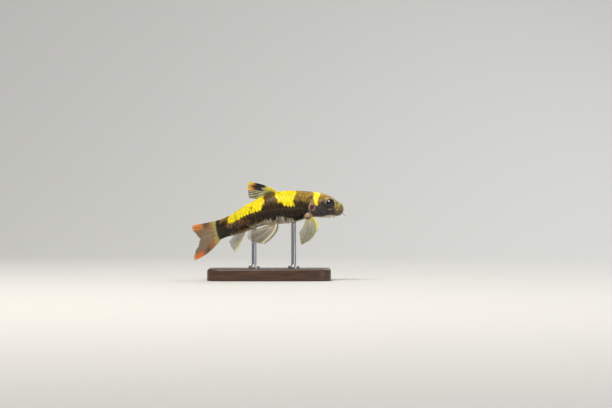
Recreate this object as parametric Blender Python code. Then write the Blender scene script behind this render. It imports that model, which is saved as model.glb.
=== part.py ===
"""Panda garra, a small bottom-living river fish, as a life-size still model on a plain display stand.

The fish is lofted round a spine that droops and swings towards the tail. Distances along the spine are
counted from the snout tip. Sideways is counted towards the fish's right, and up away from its belly.
Run it with: blender --background --python part.py
"""

import math
from typing import NamedTuple

import bmesh
import bpy
from mathutils import Vector

MM = 0.001

# Overall sizes of the fish and of the gap that parted pieces keep
STANDARD_LENGTH = 58.5 * MM
GAP = 0.3 * MM

# Place and pose of the spine
SNOUT_X = 31.4 * MM
SNOUT_Y = -3.0 * MM
AXIS_HEIGHT = 31.5 * MM
NECK_DROOP = math.radians(4.0)
NECK_BEND = (8.0 * MM, 25.0 * MM)
TAIL_DROOP = math.radians(20.5)
TAIL_BEND = (23.4 * MM, 40.5 * MM)
TAIL_LIFT = math.radians(9.0)
LIFT_BEND = (41.0 * MM, 53.0 * MM)
TAIL_SWING = math.radians(38.0)
SWING_BEND = (22.0 * MM, 54.0 * MM)
SPINE_STEP = 0.25 * MM
SPINE_LENGTH = 80.0 * MM


class Station(NamedTuple):
    """One cross-section of the body, in millimetres, with levels counted up from the spine."""

    at: float
    back: float
    belly: float
    widest: float
    half_width: float
    belly_squareness: float


STATIONS = {
    "nose": Station(0.0, 1.35, -4.3, -1.5, 3.7, 2.1),
    "nostril": Station(2.7, 2.2, -4.1, -1.4, 4.05, 2.3),
    "eye": Station(5.2, 4.1, -4.3, -1.2, 4.7, 2.6),
    "cheek": Station(8.0, 5.2, -4.5, -1.1, 5.1, 2.8),
    "nape": Station(11.5, 5.85, -4.7, -0.9, 5.35, 2.8),
    "shoulder": Station(16.0, 6.3, -5.6, -0.8, 5.35, 2.5),
    "belly": Station(22.5, 6.95, -6.85, -0.7, 5.25, 2.3),
    "dorsal_origin": Station(28.5, 6.8, -6.8, -0.5, 5.0, 2.2),
    "dorsal_end": Station(37.0, 5.55, -5.55, -0.2, 4.1, 2.1),
    "vent": Station(43.5, 5.05, -5.0, 0.0, 3.3, 2.0),
    "anal_end": Station(50.0, 4.35, -4.35, 0.0, 2.5, 2.0),
    "peduncle": Station(55.0, 4.0, -4.0, 0.0, 1.9, 2.0),
    "tail_root": Station(58.5, 4.2, -4.2, 0.0, 1.15, 2.0),
}
BACK_SQUARENESS = 2.0
SNOUT_ROUND = 3.2 * MM

# Where the body is parted: a curved cut behind the gill covers and a flat one at the vent
GILL_REAR = 14.8 * MM
GILL_SWEEP = 3.6 * MM
GILL_CURVE = 1.6
GILL_LIFT = 0.35 * MM
GILL_SLOPE = (5.2 * MM, 0.6 * MM)
VENT_CUT = 43.2 * MM

# Rings and points round each ring of the lofted pieces
HEAD_RINGS = 26
TORSO_RINGS = 24
TAIL_RINGS = 11
RING_POINTS = 44
# Share of even spacing in the head's rings, which otherwise crowd towards the snout
HEAD_RING_EVENNESS = 0.55

# Eye
EYE_AT = 5.75 * MM
EYE_ANGLE = math.radians(63.0)
EYE_RADIUS = 2.2 * MM
EYE_DEPTH = 1.7 * MM
EYE_SUNK = 0.95 * MM
EYE_LOOK_FORWARD = 0.10
EYE_LOOK_UP = 0.16
EYE_RIM_RADIUS = 2.85 * MM
EYE_RIM_WIDTH = 0.5 * MM
EYE_RIM_LIFT = 0.22 * MM

# Nostrils, mouth and the round adhesive disc under the chin
NOSTRILS_AT = (2.35 * MM, 3.2 * MM)
NOSTRIL_ANGLE = math.radians(44.0)
NOSTRIL_RADIUS = 0.36 * MM
MOUTH_CENTRE = 4.6 * MM
MOUTH_RADIUS = 2.7 * MM
MOUTH_HALF_ARC = math.radians(82.0)
MOUTH_GROOVE = 0.32 * MM
MOUTH_STEPS = 12
MOUTH_WIDEST_SHARE = 0.95
LIP_RADIUS = 2.1 * MM
LIP_THICK = 0.36 * MM
DISC_CENTRE = 5.5 * MM
DISC_RADII = (1.5 * MM, 1.75 * MM, 0.5 * MM)

# Fleshy bases that the paired fins grow from
PECTORAL_BASE_AT = 15.5 * MM
PECTORAL_BASE_ANGLE = math.radians(122.0)
PECTORAL_BASE_RADII = (1.55 * MM, 1.15 * MM, 1.45 * MM)
PELVIC_BASE_AT = 30.3 * MM
PELVIC_BASE_ANGLE = math.radians(154.0)
PELVIC_BASE_RADII = (1.5 * MM, 0.85 * MM, 0.7 * MM)

# Fins: webs, the ridges of their rays, and their free edges
WEB_THICK = 0.5 * MM
RAY_THICK = 0.78 * MM
EDGE_THICK = 0.3 * MM
ROOT_SUNK = 0.8 * MM
WEB_SCALLOP = 0.03
# Shares of a ray's length: where its stout root has thinned, and where its tip starts to
ROOT_THIN_AT = 0.3
TIP_THIN_AT = 0.55

# Stand
BASE_LENGTH = 52.0 * MM
BASE_WIDTH = 34.0 * MM
BASE_THICK = 5.0 * MM
BASE_CORNER = 6.0 * MM
BASE_CORNER_STEPS = 6
BASE_BEVEL = 0.8 * MM
BASE_BEVEL_STEPS = 2
ROD_RADIUS = 1.0 * MM
ROD_FOOT_RADIUS = 2.4 * MM
ROD_FOOT_EDGE = 0.72 * MM
ROD_FOOT_THICK = 1.2 * MM
ROD_COLLAR_RADIUS = 1.3 * MM
ROD_COLLAR_TOP = 1.56 * MM
ROD_PLACES = {"stand_rod_front": 21.5 * MM, "stand_rod_rear": 40.6 * MM}
ROD_SIDES = 20


def smooth(value, low, high):
    """Rises from 0 at low to 1 at high in an even S."""
    share = min(max((value - low) / (high - low), 0.0), 1.0)
    return share * share * (3.0 - 2.0 * share)


def mix(a, b, share):
    """The value that lies the given share of the way from a to b."""
    return a + (b - a) * share


def signed_power(value, power):
    """The power of a number's size, with the number's sign kept."""
    return math.copysign(abs(value) ** power, value)


def through(places, values, place):
    """A smooth curve through the values at the rising places, which never overshoots them."""
    last = len(places) - 1
    place = min(max(place, places[0]), places[-1])
    i = min(max(sum(1 for p in places if p <= place) - 1, 0), last - 1)
    rises = [(values[k + 1] - values[k]) / (places[k + 1] - places[k]) for k in range(last)]

    def slope(k):
        if k in (0, last):
            return rises[min(k, last - 1)]
        before, after = rises[k - 1], rises[k]
        if before * after <= 0.0:
            return 0.0
        return 2.0 * before * after / (before + after)

    width = places[i + 1] - places[i]
    t = (place - places[i]) / width
    start = (1.0 + 2.0 * t) * (1.0 - t) ** 2 * values[i] + t * (1.0 - t) ** 2 * width * slope(i)
    end = t * t * (3.0 - 2.0 * t) * values[i + 1] + t * t * (t - 1.0) * width * slope(i + 1)
    return start + end


def tailward(at):
    """The spine's direction towards the tail."""
    droop = NECK_DROOP * smooth(at, *NECK_BEND) + TAIL_DROOP * smooth(at, *TAIL_BEND)
    droop -= TAIL_LIFT * smooth(at, *LIFT_BEND)
    swing = TAIL_SWING * smooth(at, *SWING_BEND)
    level = math.cos(droop)
    return Vector((-level * math.cos(swing), level * math.sin(swing), -math.sin(droop)))


def trace_spine():
    """Points of the spine at even steps from the snout to past the tips of the tail fin."""
    points = [Vector((SNOUT_X, SNOUT_Y, AXIS_HEIGHT))]
    for step in range(round(SPINE_LENGTH / SPINE_STEP)):
        points.append(points[-1] + tailward((step + 0.5) * SPINE_STEP) * SPINE_STEP)
    return points


SPINE = trace_spine()


def spine_point(at):
    """The point of the spine at a distance from the snout, straight on ahead of the snout."""
    if at < 0.0:
        return SPINE[0] - tailward(0.0) * -at
    steps = at / SPINE_STEP
    index = min(int(steps), len(SPINE) - 2)
    return SPINE[index].lerp(SPINE[index + 1], steps - index)


def frame_at(at):
    """Unit vectors of the body at a distance from the snout: towards the tail, to the right, and up."""
    back = tailward(at)
    right = Vector((0.0, 0.0, 1.0)).cross(back).normalized()
    return back, right, back.cross(right).normalized()


def place(at, sideways, up):
    """The point at a distance from the snout, so far to the right of the spine and above it."""
    _, right, above = frame_at(at)
    return spine_point(at) + right * sideways + above * up


def measure(at, field):
    """One measure of the body's cross-section at a distance from the snout, in metres."""
    places = [station.at for station in STATIONS.values()]
    values = [getattr(station, field) for station in STATIONS.values()]
    return through(places, values, at / MM) * MM


def gill_edge(angle):
    """How far from the snout the gill cover's rear edge lies at an angle round the body."""
    return GILL_REAR - GILL_SWEEP * abs(math.cos(angle)) ** GILL_CURVE


def head_relief(at, angle):
    """How far the head's surface stands out: the gill cover's rear part and the rim of the eye."""
    edge = gill_edge(angle)
    flank = abs(math.sin(angle)) ** 3
    cover = GILL_LIFT * flank * smooth(at, edge - GILL_SLOPE[0], edge - GILL_SLOPE[1])
    turn = abs(math.remainder(angle, 2.0 * math.pi)) - EYE_ANGLE
    away = math.hypot(at - EYE_AT, turn * measure(EYE_AT, "half_width"))
    rim = EYE_RIM_LIFT * math.exp(-(((away - EYE_RIM_RADIUS) / EYE_RIM_WIDTH) ** 2))
    return cover + rim


def skin_point(at, angle, lift=0.0):
    """A point of the body's surface. Angle 0 is the back, a quarter turn the right flank."""
    blunt = math.sqrt(max(1.0 - (1.0 - min(at / SNOUT_ROUND, 1.0)) ** 2, 0.0))
    widest = measure(at, "widest")
    across, along = math.sin(angle), math.cos(angle)
    if along >= 0.0:
        height = measure(at, "back") - widest
        power = 2.0 / BACK_SQUARENESS
    else:
        height = widest - measure(at, "belly")
        power = 2.0 / (measure(at, "belly_squareness") / MM)
    sideways = blunt * measure(at, "half_width") * signed_power(across, power)
    up = widest + blunt * height * signed_power(along, power)
    return place(at, sideways + lift * across, up + lift * along)


def finish_mesh(name, bm):
    """A new object in the scene from a bmesh, with its faces turned outwards."""
    bmesh.ops.recalc_face_normals(bm, faces=bm.faces)
    if bm.calc_volume(signed=True) < 0.0:
        bmesh.ops.reverse_faces(bm, faces=bm.faces)
    mesh = bpy.data.meshes.new(name)
    bm.to_mesh(mesh)
    bm.free()
    made = bpy.data.objects.new(name, mesh)
    bpy.context.scene.collection.objects.link(made)
    return made


def loft(name, rings, front, rear):
    """A closed solid through rings of equally many points, with a fan to a point over each end."""
    bm = bmesh.new()
    rows = [[bm.verts.new(point) for point in ring] for ring in rings]
    count = len(rows[0])
    for row, after in zip(rows, rows[1:]):
        for k in range(count):
            bm.faces.new((row[k], row[(k + 1) % count], after[(k + 1) % count], after[k]))
    for row, tip in ((rows[0], bm.verts.new(front)), (rows[-1], bm.verts.new(rear))):
        for k in range(count):
            bm.faces.new((row[k], row[(k + 1) % count], tip))
    return finish_mesh(name, bm)


def ring_of(at_angle, lift_at, points=RING_POINTS):
    """One ring of skin points, where at_angle gives each one's distance from the snout."""
    ring = []
    for k in range(points):
        angle = 2.0 * math.pi * k / points
        at = at_angle(angle)
        ring.append(skin_point(at, angle, lift_at(at, angle)))
    return ring


def flat(_at, _angle):
    """No relief on the surface."""
    return 0.0


def axis_point(at):
    """The middle of the body's cross-section at a distance from the snout."""
    return place(at, 0.0, measure(at, "widest"))


def head_spread(share):
    """How far along the head a share of its rings lies, with the rings crowded towards the snout."""
    return mix(1.0 - math.cos(share * math.pi / 2.0), share, HEAD_RING_EVENNESS)


def make_head_core(name="head"):
    """The head from the snout to the gill covers' rear edge, before its details."""
    rings = []
    for ring in range(1, HEAD_RINGS + 1):
        share = ring / HEAD_RINGS
        spread = head_spread(share)
        rings.append(ring_of(lambda angle: gill_edge(angle) * spread, head_relief))
    return loft(name, rings, axis_point(0.0), axis_point(GILL_REAR - GILL_SWEEP / 2.0))


def make_torso_core(name="torso"):
    """The trunk from behind the gill covers to the vent, without the fins' fleshy bases."""
    rings = []
    for ring in range(TORSO_RINGS + 1):
        share = ring / TORSO_RINGS
        rings.append(ring_of(lambda angle: mix(gill_edge(angle) + GAP, VENT_CUT, share), flat))
    return loft(name, rings, axis_point(GILL_REAR - GILL_SWEEP / 2.0 + GAP), axis_point(VENT_CUT))


def make_tail_core(name="tail"):
    """The tail from the vent to the root of the tail fin."""
    rings = []
    for ring in range(TAIL_RINGS + 1):
        share = ring / TAIL_RINGS
        rings.append(ring_of(lambda _: mix(VENT_CUT + GAP, STANDARD_LENGTH, share), flat))
    return loft(name, rings, axis_point(VENT_CUT + GAP), axis_point(STANDARD_LENGTH))


def make_whole_body(name):
    """Head, trunk and tail as one solid, for cutting the roots of what grows from them."""
    rings = []
    for ring in range(1, HEAD_RINGS + 1):
        spread = head_spread(ring / HEAD_RINGS)
        rings.append(ring_of(lambda _: (GILL_REAR - GILL_SWEEP) * spread, head_relief))
    count = TORSO_RINGS + TAIL_RINGS
    for ring in range(1, count + 1):
        share = ring / count
        rings.append(ring_of(lambda _: mix(GILL_REAR - GILL_SWEEP, STANDARD_LENGTH, share), flat))
    return loft(name, rings, axis_point(0.0), axis_point(STANDARD_LENGTH))


def make_ellipsoid(name, centre, axes, radii, segments=20, rings=12):
    """An ellipsoid with its three radii along the three unit vectors given."""
    bm = bmesh.new()
    bmesh.ops.create_uvsphere(bm, u_segments=segments, v_segments=rings, radius=1.0)
    for vertex in bm.verts:
        local = vertex.co.copy()
        vertex.co = centre + sum((axis * r * c for axis, r, c in zip(axes, radii, local)), Vector())
    return finish_mesh(name, bm)


def make_tube(name, points, radii, sides=8):
    """A closed tube along a few points, with a radius at each and flat ends."""
    bm = bmesh.new()
    rows = []
    turns = [2.0 * math.pi * side / sides for side in range(sides)]
    across = (points[1] - points[0]).orthogonal()
    for k, (point, radius) in enumerate(zip(points, radii)):
        ahead = points[min(k + 1, len(points) - 1)] - points[max(k - 1, 0)]
        # each ring starts where the one before it did, turned as little as the bend allows
        if k > 0:
            across = across - ahead * across.dot(ahead) / ahead.length_squared
        across = across.normalized()
        third = ahead.normalized().cross(across)
        ways = [across * math.cos(turn) + third * math.sin(turn) for turn in turns]
        rows.append([bm.verts.new(point + way * radius) for way in ways])
    for row, after in zip(rows, rows[1:]):
        for k in range(sides):
            bm.faces.new((row[k], row[(k + 1) % sides], after[(k + 1) % sides], after[k]))
    bm.faces.new(rows[0])
    bm.faces.new(rows[-1])
    return finish_mesh(name, bm)


def apply_boolean(target, operation, others, solver="EXACT"):
    """Joins closed meshes to the target, or cuts them from it, and removes them."""
    group = bpy.data.collections.new("boolean_pieces")
    for other in others:
        for holder in list(other.users_collection):
            holder.objects.unlink(other)
        group.objects.link(other)
    modifier = target.modifiers.new("boolean", "BOOLEAN")
    modifier.operation = operation
    modifier.solver = solver
    modifier.operand_type = "COLLECTION"
    modifier.collection = group
    bpy.context.scene.collection.children.link(group)
    bpy.context.view_layer.update()
    graph = bpy.context.evaluated_depsgraph_get()
    made = bpy.data.meshes.new_from_object(target.evaluated_get(graph))
    target.modifiers.clear()
    old = target.data
    target.data = made
    made.name = target.name
    bpy.data.meshes.remove(old)
    bpy.context.scene.collection.children.unlink(group)
    for other in others:
        bpy.data.objects.remove(other)
    bpy.data.collections.remove(group)
    keep_largest(target)


def keep_largest(target):
    """Leaves only the target's largest closed surface."""
    bm = bmesh.new()
    bm.from_mesh(target.data)
    unseen = set(bm.faces)
    shells = []
    while unseen:
        shell = set()
        waiting = [unseen.pop()]
        while waiting:
            face = waiting.pop()
            shell.add(face)
            near = {other for edge in face.edges for other in edge.link_faces}
            waiting.extend(near & unseen)
            unseen -= near
        shells.append(shell)
    shells.sort(key=lambda shell: sum(face.calc_area() for face in shell))
    spare = [face for shell in shells[:-1] for face in shell]
    bmesh.ops.delete(bm, geom=spare, context="FACES")
    bm.to_mesh(target.data)
    bm.free()


def grown(source, gap=GAP):
    """A cutter: a copy of an object with its surface moved out by the gap."""
    bm = bmesh.new()
    bm.from_mesh(source.data)
    bm.normal_update()
    moves = [(vertex, vertex.co + vertex.normal * gap) for vertex in bm.verts]
    for vertex, moved in moves:
        vertex.co = moved
    return finish_mesh(source.name + "_grown", bm)


def base_axes(at, angle, side):
    """Unit vectors at a place on the skin: towards the tail, out of the skin, and round it."""
    back, right, above = frame_at(at)
    out = (right * math.sin(angle) * side + above * math.cos(angle)).normalized()
    return back, out, back.cross(out)


def make_fin_bases(grow=0.0):
    """The fleshy bases of the paired fins, on both sides, made larger by grow."""
    made = []
    for at, angle, radii in (
        (PECTORAL_BASE_AT, PECTORAL_BASE_ANGLE, PECTORAL_BASE_RADII),
        (PELVIC_BASE_AT, PELVIC_BASE_ANGLE, PELVIC_BASE_RADII),
    ):
        for side in (1, -1):
            centre = skin_point(at, angle * side)
            axes = base_axes(at, angle, side)
            made.append(make_ellipsoid("fin_base", centre, axes, [r + grow for r in radii], 14, 8))
    return made


def eye_axes(side):
    """Unit vectors of an eye: forwards, up, and out of the head."""
    back, right, above = frame_at(EYE_AT)
    out = (right * side - back * EYE_LOOK_FORWARD + above * EYE_LOOK_UP).normalized()
    forward = (-back - out * (-back).dot(out)).normalized()
    return forward, out.cross(forward), out


def make_eye(name, side, grow=0.0):
    """One eyeball, flatter than it is round, sunk into its socket."""
    axes = eye_axes(side)
    centre = skin_point(EYE_AT, EYE_ANGLE * side) - axes[2] * EYE_SUNK
    radii = (EYE_RADIUS + grow, EYE_RADIUS + grow, EYE_DEPTH + grow)
    return make_ellipsoid(name, centre, axes, radii, 22, 12)


def mouth_curve(radius):
    """Points along a crescent under the snout, open towards the tail."""
    points = []
    for step in range(MOUTH_STEPS + 1):
        turn = mix(-MOUTH_HALF_ARC, MOUTH_HALF_ARC, step / MOUTH_STEPS)
        at = MOUTH_CENTRE - radius * math.cos(turn)
        sideways = radius * math.sin(turn)
        share = min(abs(sideways) / measure(at, "half_width"), MOUTH_WIDEST_SHARE)
        squareness = measure(at, "belly_squareness") / MM
        from_belly = math.asin(share ** (squareness / 2.0))
        points.append(skin_point(at, math.pi - math.copysign(from_belly, sideways)))
    return points


def taper(count, radius, ends=0.5):
    """Radii that fall from the full radius in the middle to a share of it at both ends."""
    shares = [abs(2.0 * k / (count - 1) - 1.0) for k in range(count)]
    return [radius * mix(1.0, ends, share**2) for share in shares]


def make_head():
    """The head with its lips, adhesive disc, mouth, nostrils and eye sockets."""
    head = make_head_core()
    lip = mouth_curve(LIP_RADIUS)
    back, right, above = frame_at(DISC_CENTRE)
    disc_at = skin_point(DISC_CENTRE, math.pi)
    apply_boolean(head, "UNION", [
        make_tube("lower_lip", lip, taper(len(lip), LIP_THICK)),
        make_ellipsoid("chin_disc", disc_at, (back, right, above), DISC_RADII, 18, 10),
    ])
    groove = mouth_curve(MOUTH_RADIUS)
    cutters = [make_tube("mouth_line", groove, taper(len(groove), MOUTH_GROOVE))]
    for side in (1, -1):
        cutters.append(make_eye("socket", side, GAP))
        for at in NOSTRILS_AT:
            pit = skin_point(at, NOSTRIL_ANGLE * side)
            axes = base_axes(at, NOSTRIL_ANGLE, side)
            cutters.append(make_ellipsoid("nostril", pit, axes, [NOSTRIL_RADIUS] * 3, 10, 6))
    apply_boolean(head, "DIFFERENCE", cutters)
    return head


def make_torso():
    """The trunk with the fleshy bases of the paired fins."""
    torso = make_torso_core()
    apply_boolean(torso, "UNION", make_fin_bases())
    return torso


def bezier(start, middle, end, share):
    """A point of the quadratic curve from start to end that is drawn towards middle."""
    rest = 1.0 - share
    return start * rest * rest + middle * 2.0 * rest * share + end * share * share


class Ray(NamedTuple):
    """The line of one fin ray: its root, the point it is drawn towards, and its tip."""

    root: Vector
    middle: Vector
    tip: Vector


def make_fin(name, ray_at, rays, rows, across=(0.0, 1.0), root_thick=RAY_THICK):
    """A fin whose rays stand up as ridges on both faces of its web.

    ray_at gives the ray at a share of the way across the fin. Both faces are split into like triangles.
    """
    columns = 2 * rays - 1
    bm = bmesh.new()
    faces = []
    centres = []
    for column in range(columns):
        ray = ray_at(mix(across[0], across[1], column / (columns - 1)))
        reach = 1.0 - WEB_SCALLOP * (column % 2)
        centres.append([bezier(*ray, reach * row / rows) for row in range(rows + 1)])
    for sign in (1.0, -1.0):
        side = []
        for column in range(columns):
            line = []
            before, after = centres[max(column - 1, 0)], centres[min(column + 1, columns - 1)]
            for row in range(rows + 1):
                share = row / rows
                along = centres[column][min(row + 1, rows)] - centres[column][max(row - 1, 0)]
                normal = (after[row] - before[row]).cross(along).normalized()
                body = WEB_THICK if column % 2 else RAY_THICK
                thick = mix(root_thick, body, smooth(share, 0.0, ROOT_THIN_AT))
                thick = mix(thick, EDGE_THICK, smooth(share, TIP_THIN_AT, 1.0))
                line.append(bm.verts.new(centres[column][row] + normal * thick / 2.0 * sign))
            side.append(line)
        faces.append(side)
    for side in faces:
        for column in range(columns - 1):
            for row in range(rows):
                a, b = side[column][row], side[column + 1][row]
                c, d = side[column + 1][row + 1], side[column][row + 1]
                bm.faces.new((a, b, c))
                bm.faces.new((a, c, d))
    front, rear = faces
    border = [(column, 0) for column in range(columns)]
    border += [(columns - 1, row) for row in range(1, rows + 1)]
    border += [(column, rows) for column in range(columns - 2, -1, -1)]
    border += [(0, row) for row in range(rows - 1, 0, -1)]
    for (c0, r0), (c1, r1) in zip(border, border[1:] + border[:1]):
        bm.faces.new((front[c0][r0], front[c1][r1], rear[c1][r1], rear[c0][r0]))
    return finish_mesh(name, bm)


def body_vector(at, tail, out, up, side=1):
    """A vector in the body's own directions at a distance from the snout."""
    back, right, above = frame_at(at)
    return back * tail + right * out * side + above * up


DORSAL_BASE = (26.7 * MM, 33.8 * MM)
DORSAL_LENGTHS = (13.3 * MM, 4.2 * MM)
DORSAL_ANGLES = (math.radians(26.5), math.radians(22.0))
DORSAL_BOW = 1.9 * MM
DORSAL_BOW_AT = 0.38
DORSAL_RAYS = 10


def dorsal_ray(share):
    """A ray of the dorsal fin, which leans back, from the leading one to the last."""
    at = mix(*DORSAL_BASE, share)
    length = mix(*DORSAL_LENGTHS, share)
    lean = mix(*DORSAL_ANGLES, share)
    root = skin_point(at, 0.0, -ROOT_SUNK)
    along = body_vector(at, math.cos(lean), 0.0, math.sin(lean))
    tip = root + along * (length + ROOT_SUNK)
    bow = body_vector(at, -math.sin(lean), 0.0, math.cos(lean)) * DORSAL_BOW * (1.0 - share) ** 2
    return Ray(root, root.lerp(tip, DORSAL_BOW_AT) + bow, tip)


ANAL_BASE = (44.4 * MM, 49.0 * MM)
ANAL_LENGTHS = (10.5 * MM, 4.8 * MM)
ANAL_ANGLES = (math.radians(38.0), math.radians(28.0))
ANAL_BOW = 0.5 * MM
ANAL_RAYS = 7


def anal_ray(share):
    """A ray of the anal fin, folded back under the tail."""
    at = mix(*ANAL_BASE, share)
    length = mix(*ANAL_LENGTHS, share)
    lean = mix(*ANAL_ANGLES, share)
    root = skin_point(at, math.pi, -ROOT_SUNK)
    along = body_vector(at, math.cos(lean), 0.0, -math.sin(lean))
    tip = root + along * (length + ROOT_SUNK)
    bow = body_vector(at, -math.sin(lean), 0.0, -math.cos(lean)) * ANAL_BOW * (1.0 - share)
    return Ray(root, root.lerp(tip, 0.5) + bow, tip)


# The tail fin's rays from the upper edge to the lower: how far back and how high each tip lies
CAUDAL_SHARES = (0.0, 0.18, 0.5, 0.82, 1.0)
CAUDAL_TIPS_BACK = (14.2, 14.5, 11.6, 16.4, 17.2)
CAUDAL_TIPS_UP = (5.9, 4.2, -1.0, -6.7, -8.9)
CAUDAL_ROOT_HALF = 3.8 * MM
CAUDAL_ROOT_AT = STANDARD_LENGTH - ROOT_SUNK
CAUDAL_FLARE = (0.42, 0.6, 1.0)
CAUDAL_BOW_AT = 0.42
CAUDAL_ROOT_THICK = 1.3 * MM
CAUDAL_RAYS_PER_LOBE = 9
CAUDAL_CURL = 0.9 * MM


def caudal_ray(share):
    """A ray of the tail fin, from its upper edge to its lower one."""
    root_up = mix(CAUDAL_ROOT_HALF, -CAUDAL_ROOT_HALF, share)
    root = place(CAUDAL_ROOT_AT, 0.0, root_up)
    back = through(CAUDAL_SHARES, CAUDAL_TIPS_BACK, share) * MM
    up = through(CAUDAL_SHARES, CAUDAL_TIPS_UP, share) * MM
    centre = place(STANDARD_LENGTH, 0.0, 0.0)
    tip = centre + body_vector(STANDARD_LENGTH, back, -CAUDAL_CURL, up)
    middle_up = mix(root_up, up, through((0.0, 0.5, 1.0), CAUDAL_FLARE, share))
    middle = centre + body_vector(STANDARD_LENGTH, back * CAUDAL_BOW_AT, 0.0, middle_up)
    return Ray(root, middle, tip)


def caudal_split():
    """The shares across the tail fin where its two lobes end, with the gap between them."""
    half = GAP / (4.0 * CAUDAL_ROOT_HALF)
    return 0.5 - half, 0.5 + half


# Paired fins: where each ray is drawn out, and how much less the last one bulges than the first
PAIRED_BOW_AT = 0.45
PAIRED_BULGE_FADE = 0.6

# Where the tips of some rays lie from the fin's place on the skin, as tailward, outward and up
PECTORAL_ROOT = ((-1.3 * MM, 0.0), (0.9 * MM, -0.7 * MM))
PECTORAL_SHARES = (0.0, 0.35, 0.65, 1.0)
PECTORAL_TIPS = ((-3.6, -1.2, 2.6, 3.6), (6.2, 5.0, 3.2, 1.2), (-6.6, -10.9, -12.6, -7.4))
PECTORAL_BULGE = (-1.9 * MM, 1.1 * MM, 0.4 * MM)
PECTORAL_RAYS = 12

PELVIC_ROOT = ((-0.9 * MM, 0.0), (1.2 * MM, -0.1 * MM))
PELVIC_SHARES = (0.0, 0.35, 0.7, 1.0)
PELVIC_TIPS = ((6.6, 9.6, 12.0, 11.4), (2.4, 3.0, 2.8, 2.0), (-7.7, -6.4, -3.8, -1.2))
PELVIC_BULGE = (-3.2 * MM, 1.4 * MM, -1.0 * MM)
PELVIC_RAYS = 9


def paired_ray(share, side, at, angle, radii, root_line, shares, tips, bulge):
    """A ray of a paired fin, from its leading ray to the last."""
    back, out, round_skin = base_axes(at, angle, side)
    start, end = root_line
    tail = mix(start[0], end[0], share)
    turn = mix(start[1], end[1], share)
    outwards = radii[1] - ROOT_SUNK
    root = skin_point(at, angle * side) + out * outwards + back * tail + round_skin * turn * side
    offsets = [through(shares, values, share) * MM for values in tips]
    tip = skin_point(at, angle * side) + body_vector(at, *offsets, side)
    lean = [value * (1.0 - PAIRED_BULGE_FADE * share) for value in bulge]
    return Ray(root, root.lerp(tip, PAIRED_BOW_AT) + body_vector(at, *lean, side), tip)


def pectoral_ray(share, side):
    """A ray of a pectoral fin, which is spread out and down as a prop."""
    return paired_ray(
        share, side, PECTORAL_BASE_AT, PECTORAL_BASE_ANGLE, PECTORAL_BASE_RADII,
        PECTORAL_ROOT, PECTORAL_SHARES, PECTORAL_TIPS, PECTORAL_BULGE,
    )


def pelvic_ray(share, side):
    """A ray of a pelvic fin, which hangs down and trails back."""
    return paired_ray(
        share, side, PELVIC_BASE_AT, PELVIC_BASE_ANGLE, PELVIC_BASE_RADII,
        PELVIC_ROOT, PELVIC_SHARES, PELVIC_TIPS, PELVIC_BULGE,
    )


# Barbels: root on the head, and the reach of the tip as tailward, outward and up
BARBEL_SUNK = 0.5 * MM
BARBEL_RADII = (0.29 * MM, 0.27 * MM, 0.22 * MM, 0.13 * MM)
BARBEL_BOW = 0.25 * MM
BARBELS = {
    "barbel_rostral": (1.15 * MM, math.radians(132.0), (-1.7 * MM, 1.2 * MM, -1.3 * MM)),
    "barbel_maxillary": (3.6 * MM, math.radians(146.0), (0.7 * MM, 1.1 * MM, -1.5 * MM)),
}


def make_barbel(name, root_place, side):
    """One tapering feeler, which curves down from the snout or the mouth's corner."""
    at, angle, reach = root_place
    root = skin_point(at, angle * side)
    tip = root + body_vector(at, *reach, side)
    start = root - (tip - root).normalized() * BARBEL_SUNK
    middle = start.lerp(tip, 0.5) + body_vector(at, 0.0, BARBEL_BOW, BARBEL_BOW, side)
    count = len(BARBEL_RADII)
    points = [bezier(start, middle, tip, k / (count - 1)) for k in range(count)]
    return make_tube(name, points, BARBEL_RADII, 8)


def make_rod(name, at):
    """A turned rod with a round foot, from the stand's base up to the belly."""
    top = skin_point(at, math.pi, -ROOT_SUNK)
    foot = BASE_THICK + GAP
    outline = [
        (ROD_FOOT_RADIUS, foot),
        (ROD_FOOT_RADIUS, foot + ROD_FOOT_EDGE),
        (ROD_COLLAR_RADIUS, foot + ROD_FOOT_THICK),
        (ROD_RADIUS, foot + ROD_COLLAR_TOP),
        (ROD_RADIUS, top.z),
    ]
    turns = [2.0 * math.pi * k / ROD_SIDES for k in range(ROD_SIDES)]
    rings = []
    for radius, height in outline:
        centre = Vector((top.x, top.y, height))
        rings.append([centre + Vector((math.cos(a), math.sin(a), 0.0)) * radius for a in turns])
    return loft(name, rings, Vector((top.x, top.y, foot)), top)


def make_base():
    """The stand's flat base, a plate with round corners and a bevelled upper edge."""
    bm = bmesh.new()
    outline = []
    for quarter, (x_sign, y_sign) in enumerate(((1, 1), (-1, 1), (-1, -1), (1, -1))):
        centre_x = x_sign * (BASE_LENGTH / 2.0 - BASE_CORNER)
        centre_y = y_sign * (BASE_WIDTH / 2.0 - BASE_CORNER)
        for step in range(BASE_CORNER_STEPS + 1):
            turn = math.pi / 2.0 * (quarter + step / BASE_CORNER_STEPS)
            x = centre_x + BASE_CORNER * math.cos(turn)
            y = centre_y + BASE_CORNER * math.sin(turn)
            outline.append(bm.verts.new((x, y, 0.0)))
    bottom = bm.faces.new(outline)
    top = bmesh.ops.extrude_face_region(bm, geom=[bottom])
    raised = [item for item in top["geom"] if isinstance(item, bmesh.types.BMVert)]
    bmesh.ops.translate(bm, verts=raised, vec=(0.0, 0.0, BASE_THICK))
    lid = next(item for item in top["geom"] if isinstance(item, bmesh.types.BMFace))
    rim = list(lid.edges)
    bmesh.ops.bevel(bm, geom=rim, offset=BASE_BEVEL, segments=BASE_BEVEL_STEPS, profile=0.5, affect="EDGES")
    return finish_mesh("stand_base", bm)


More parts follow.
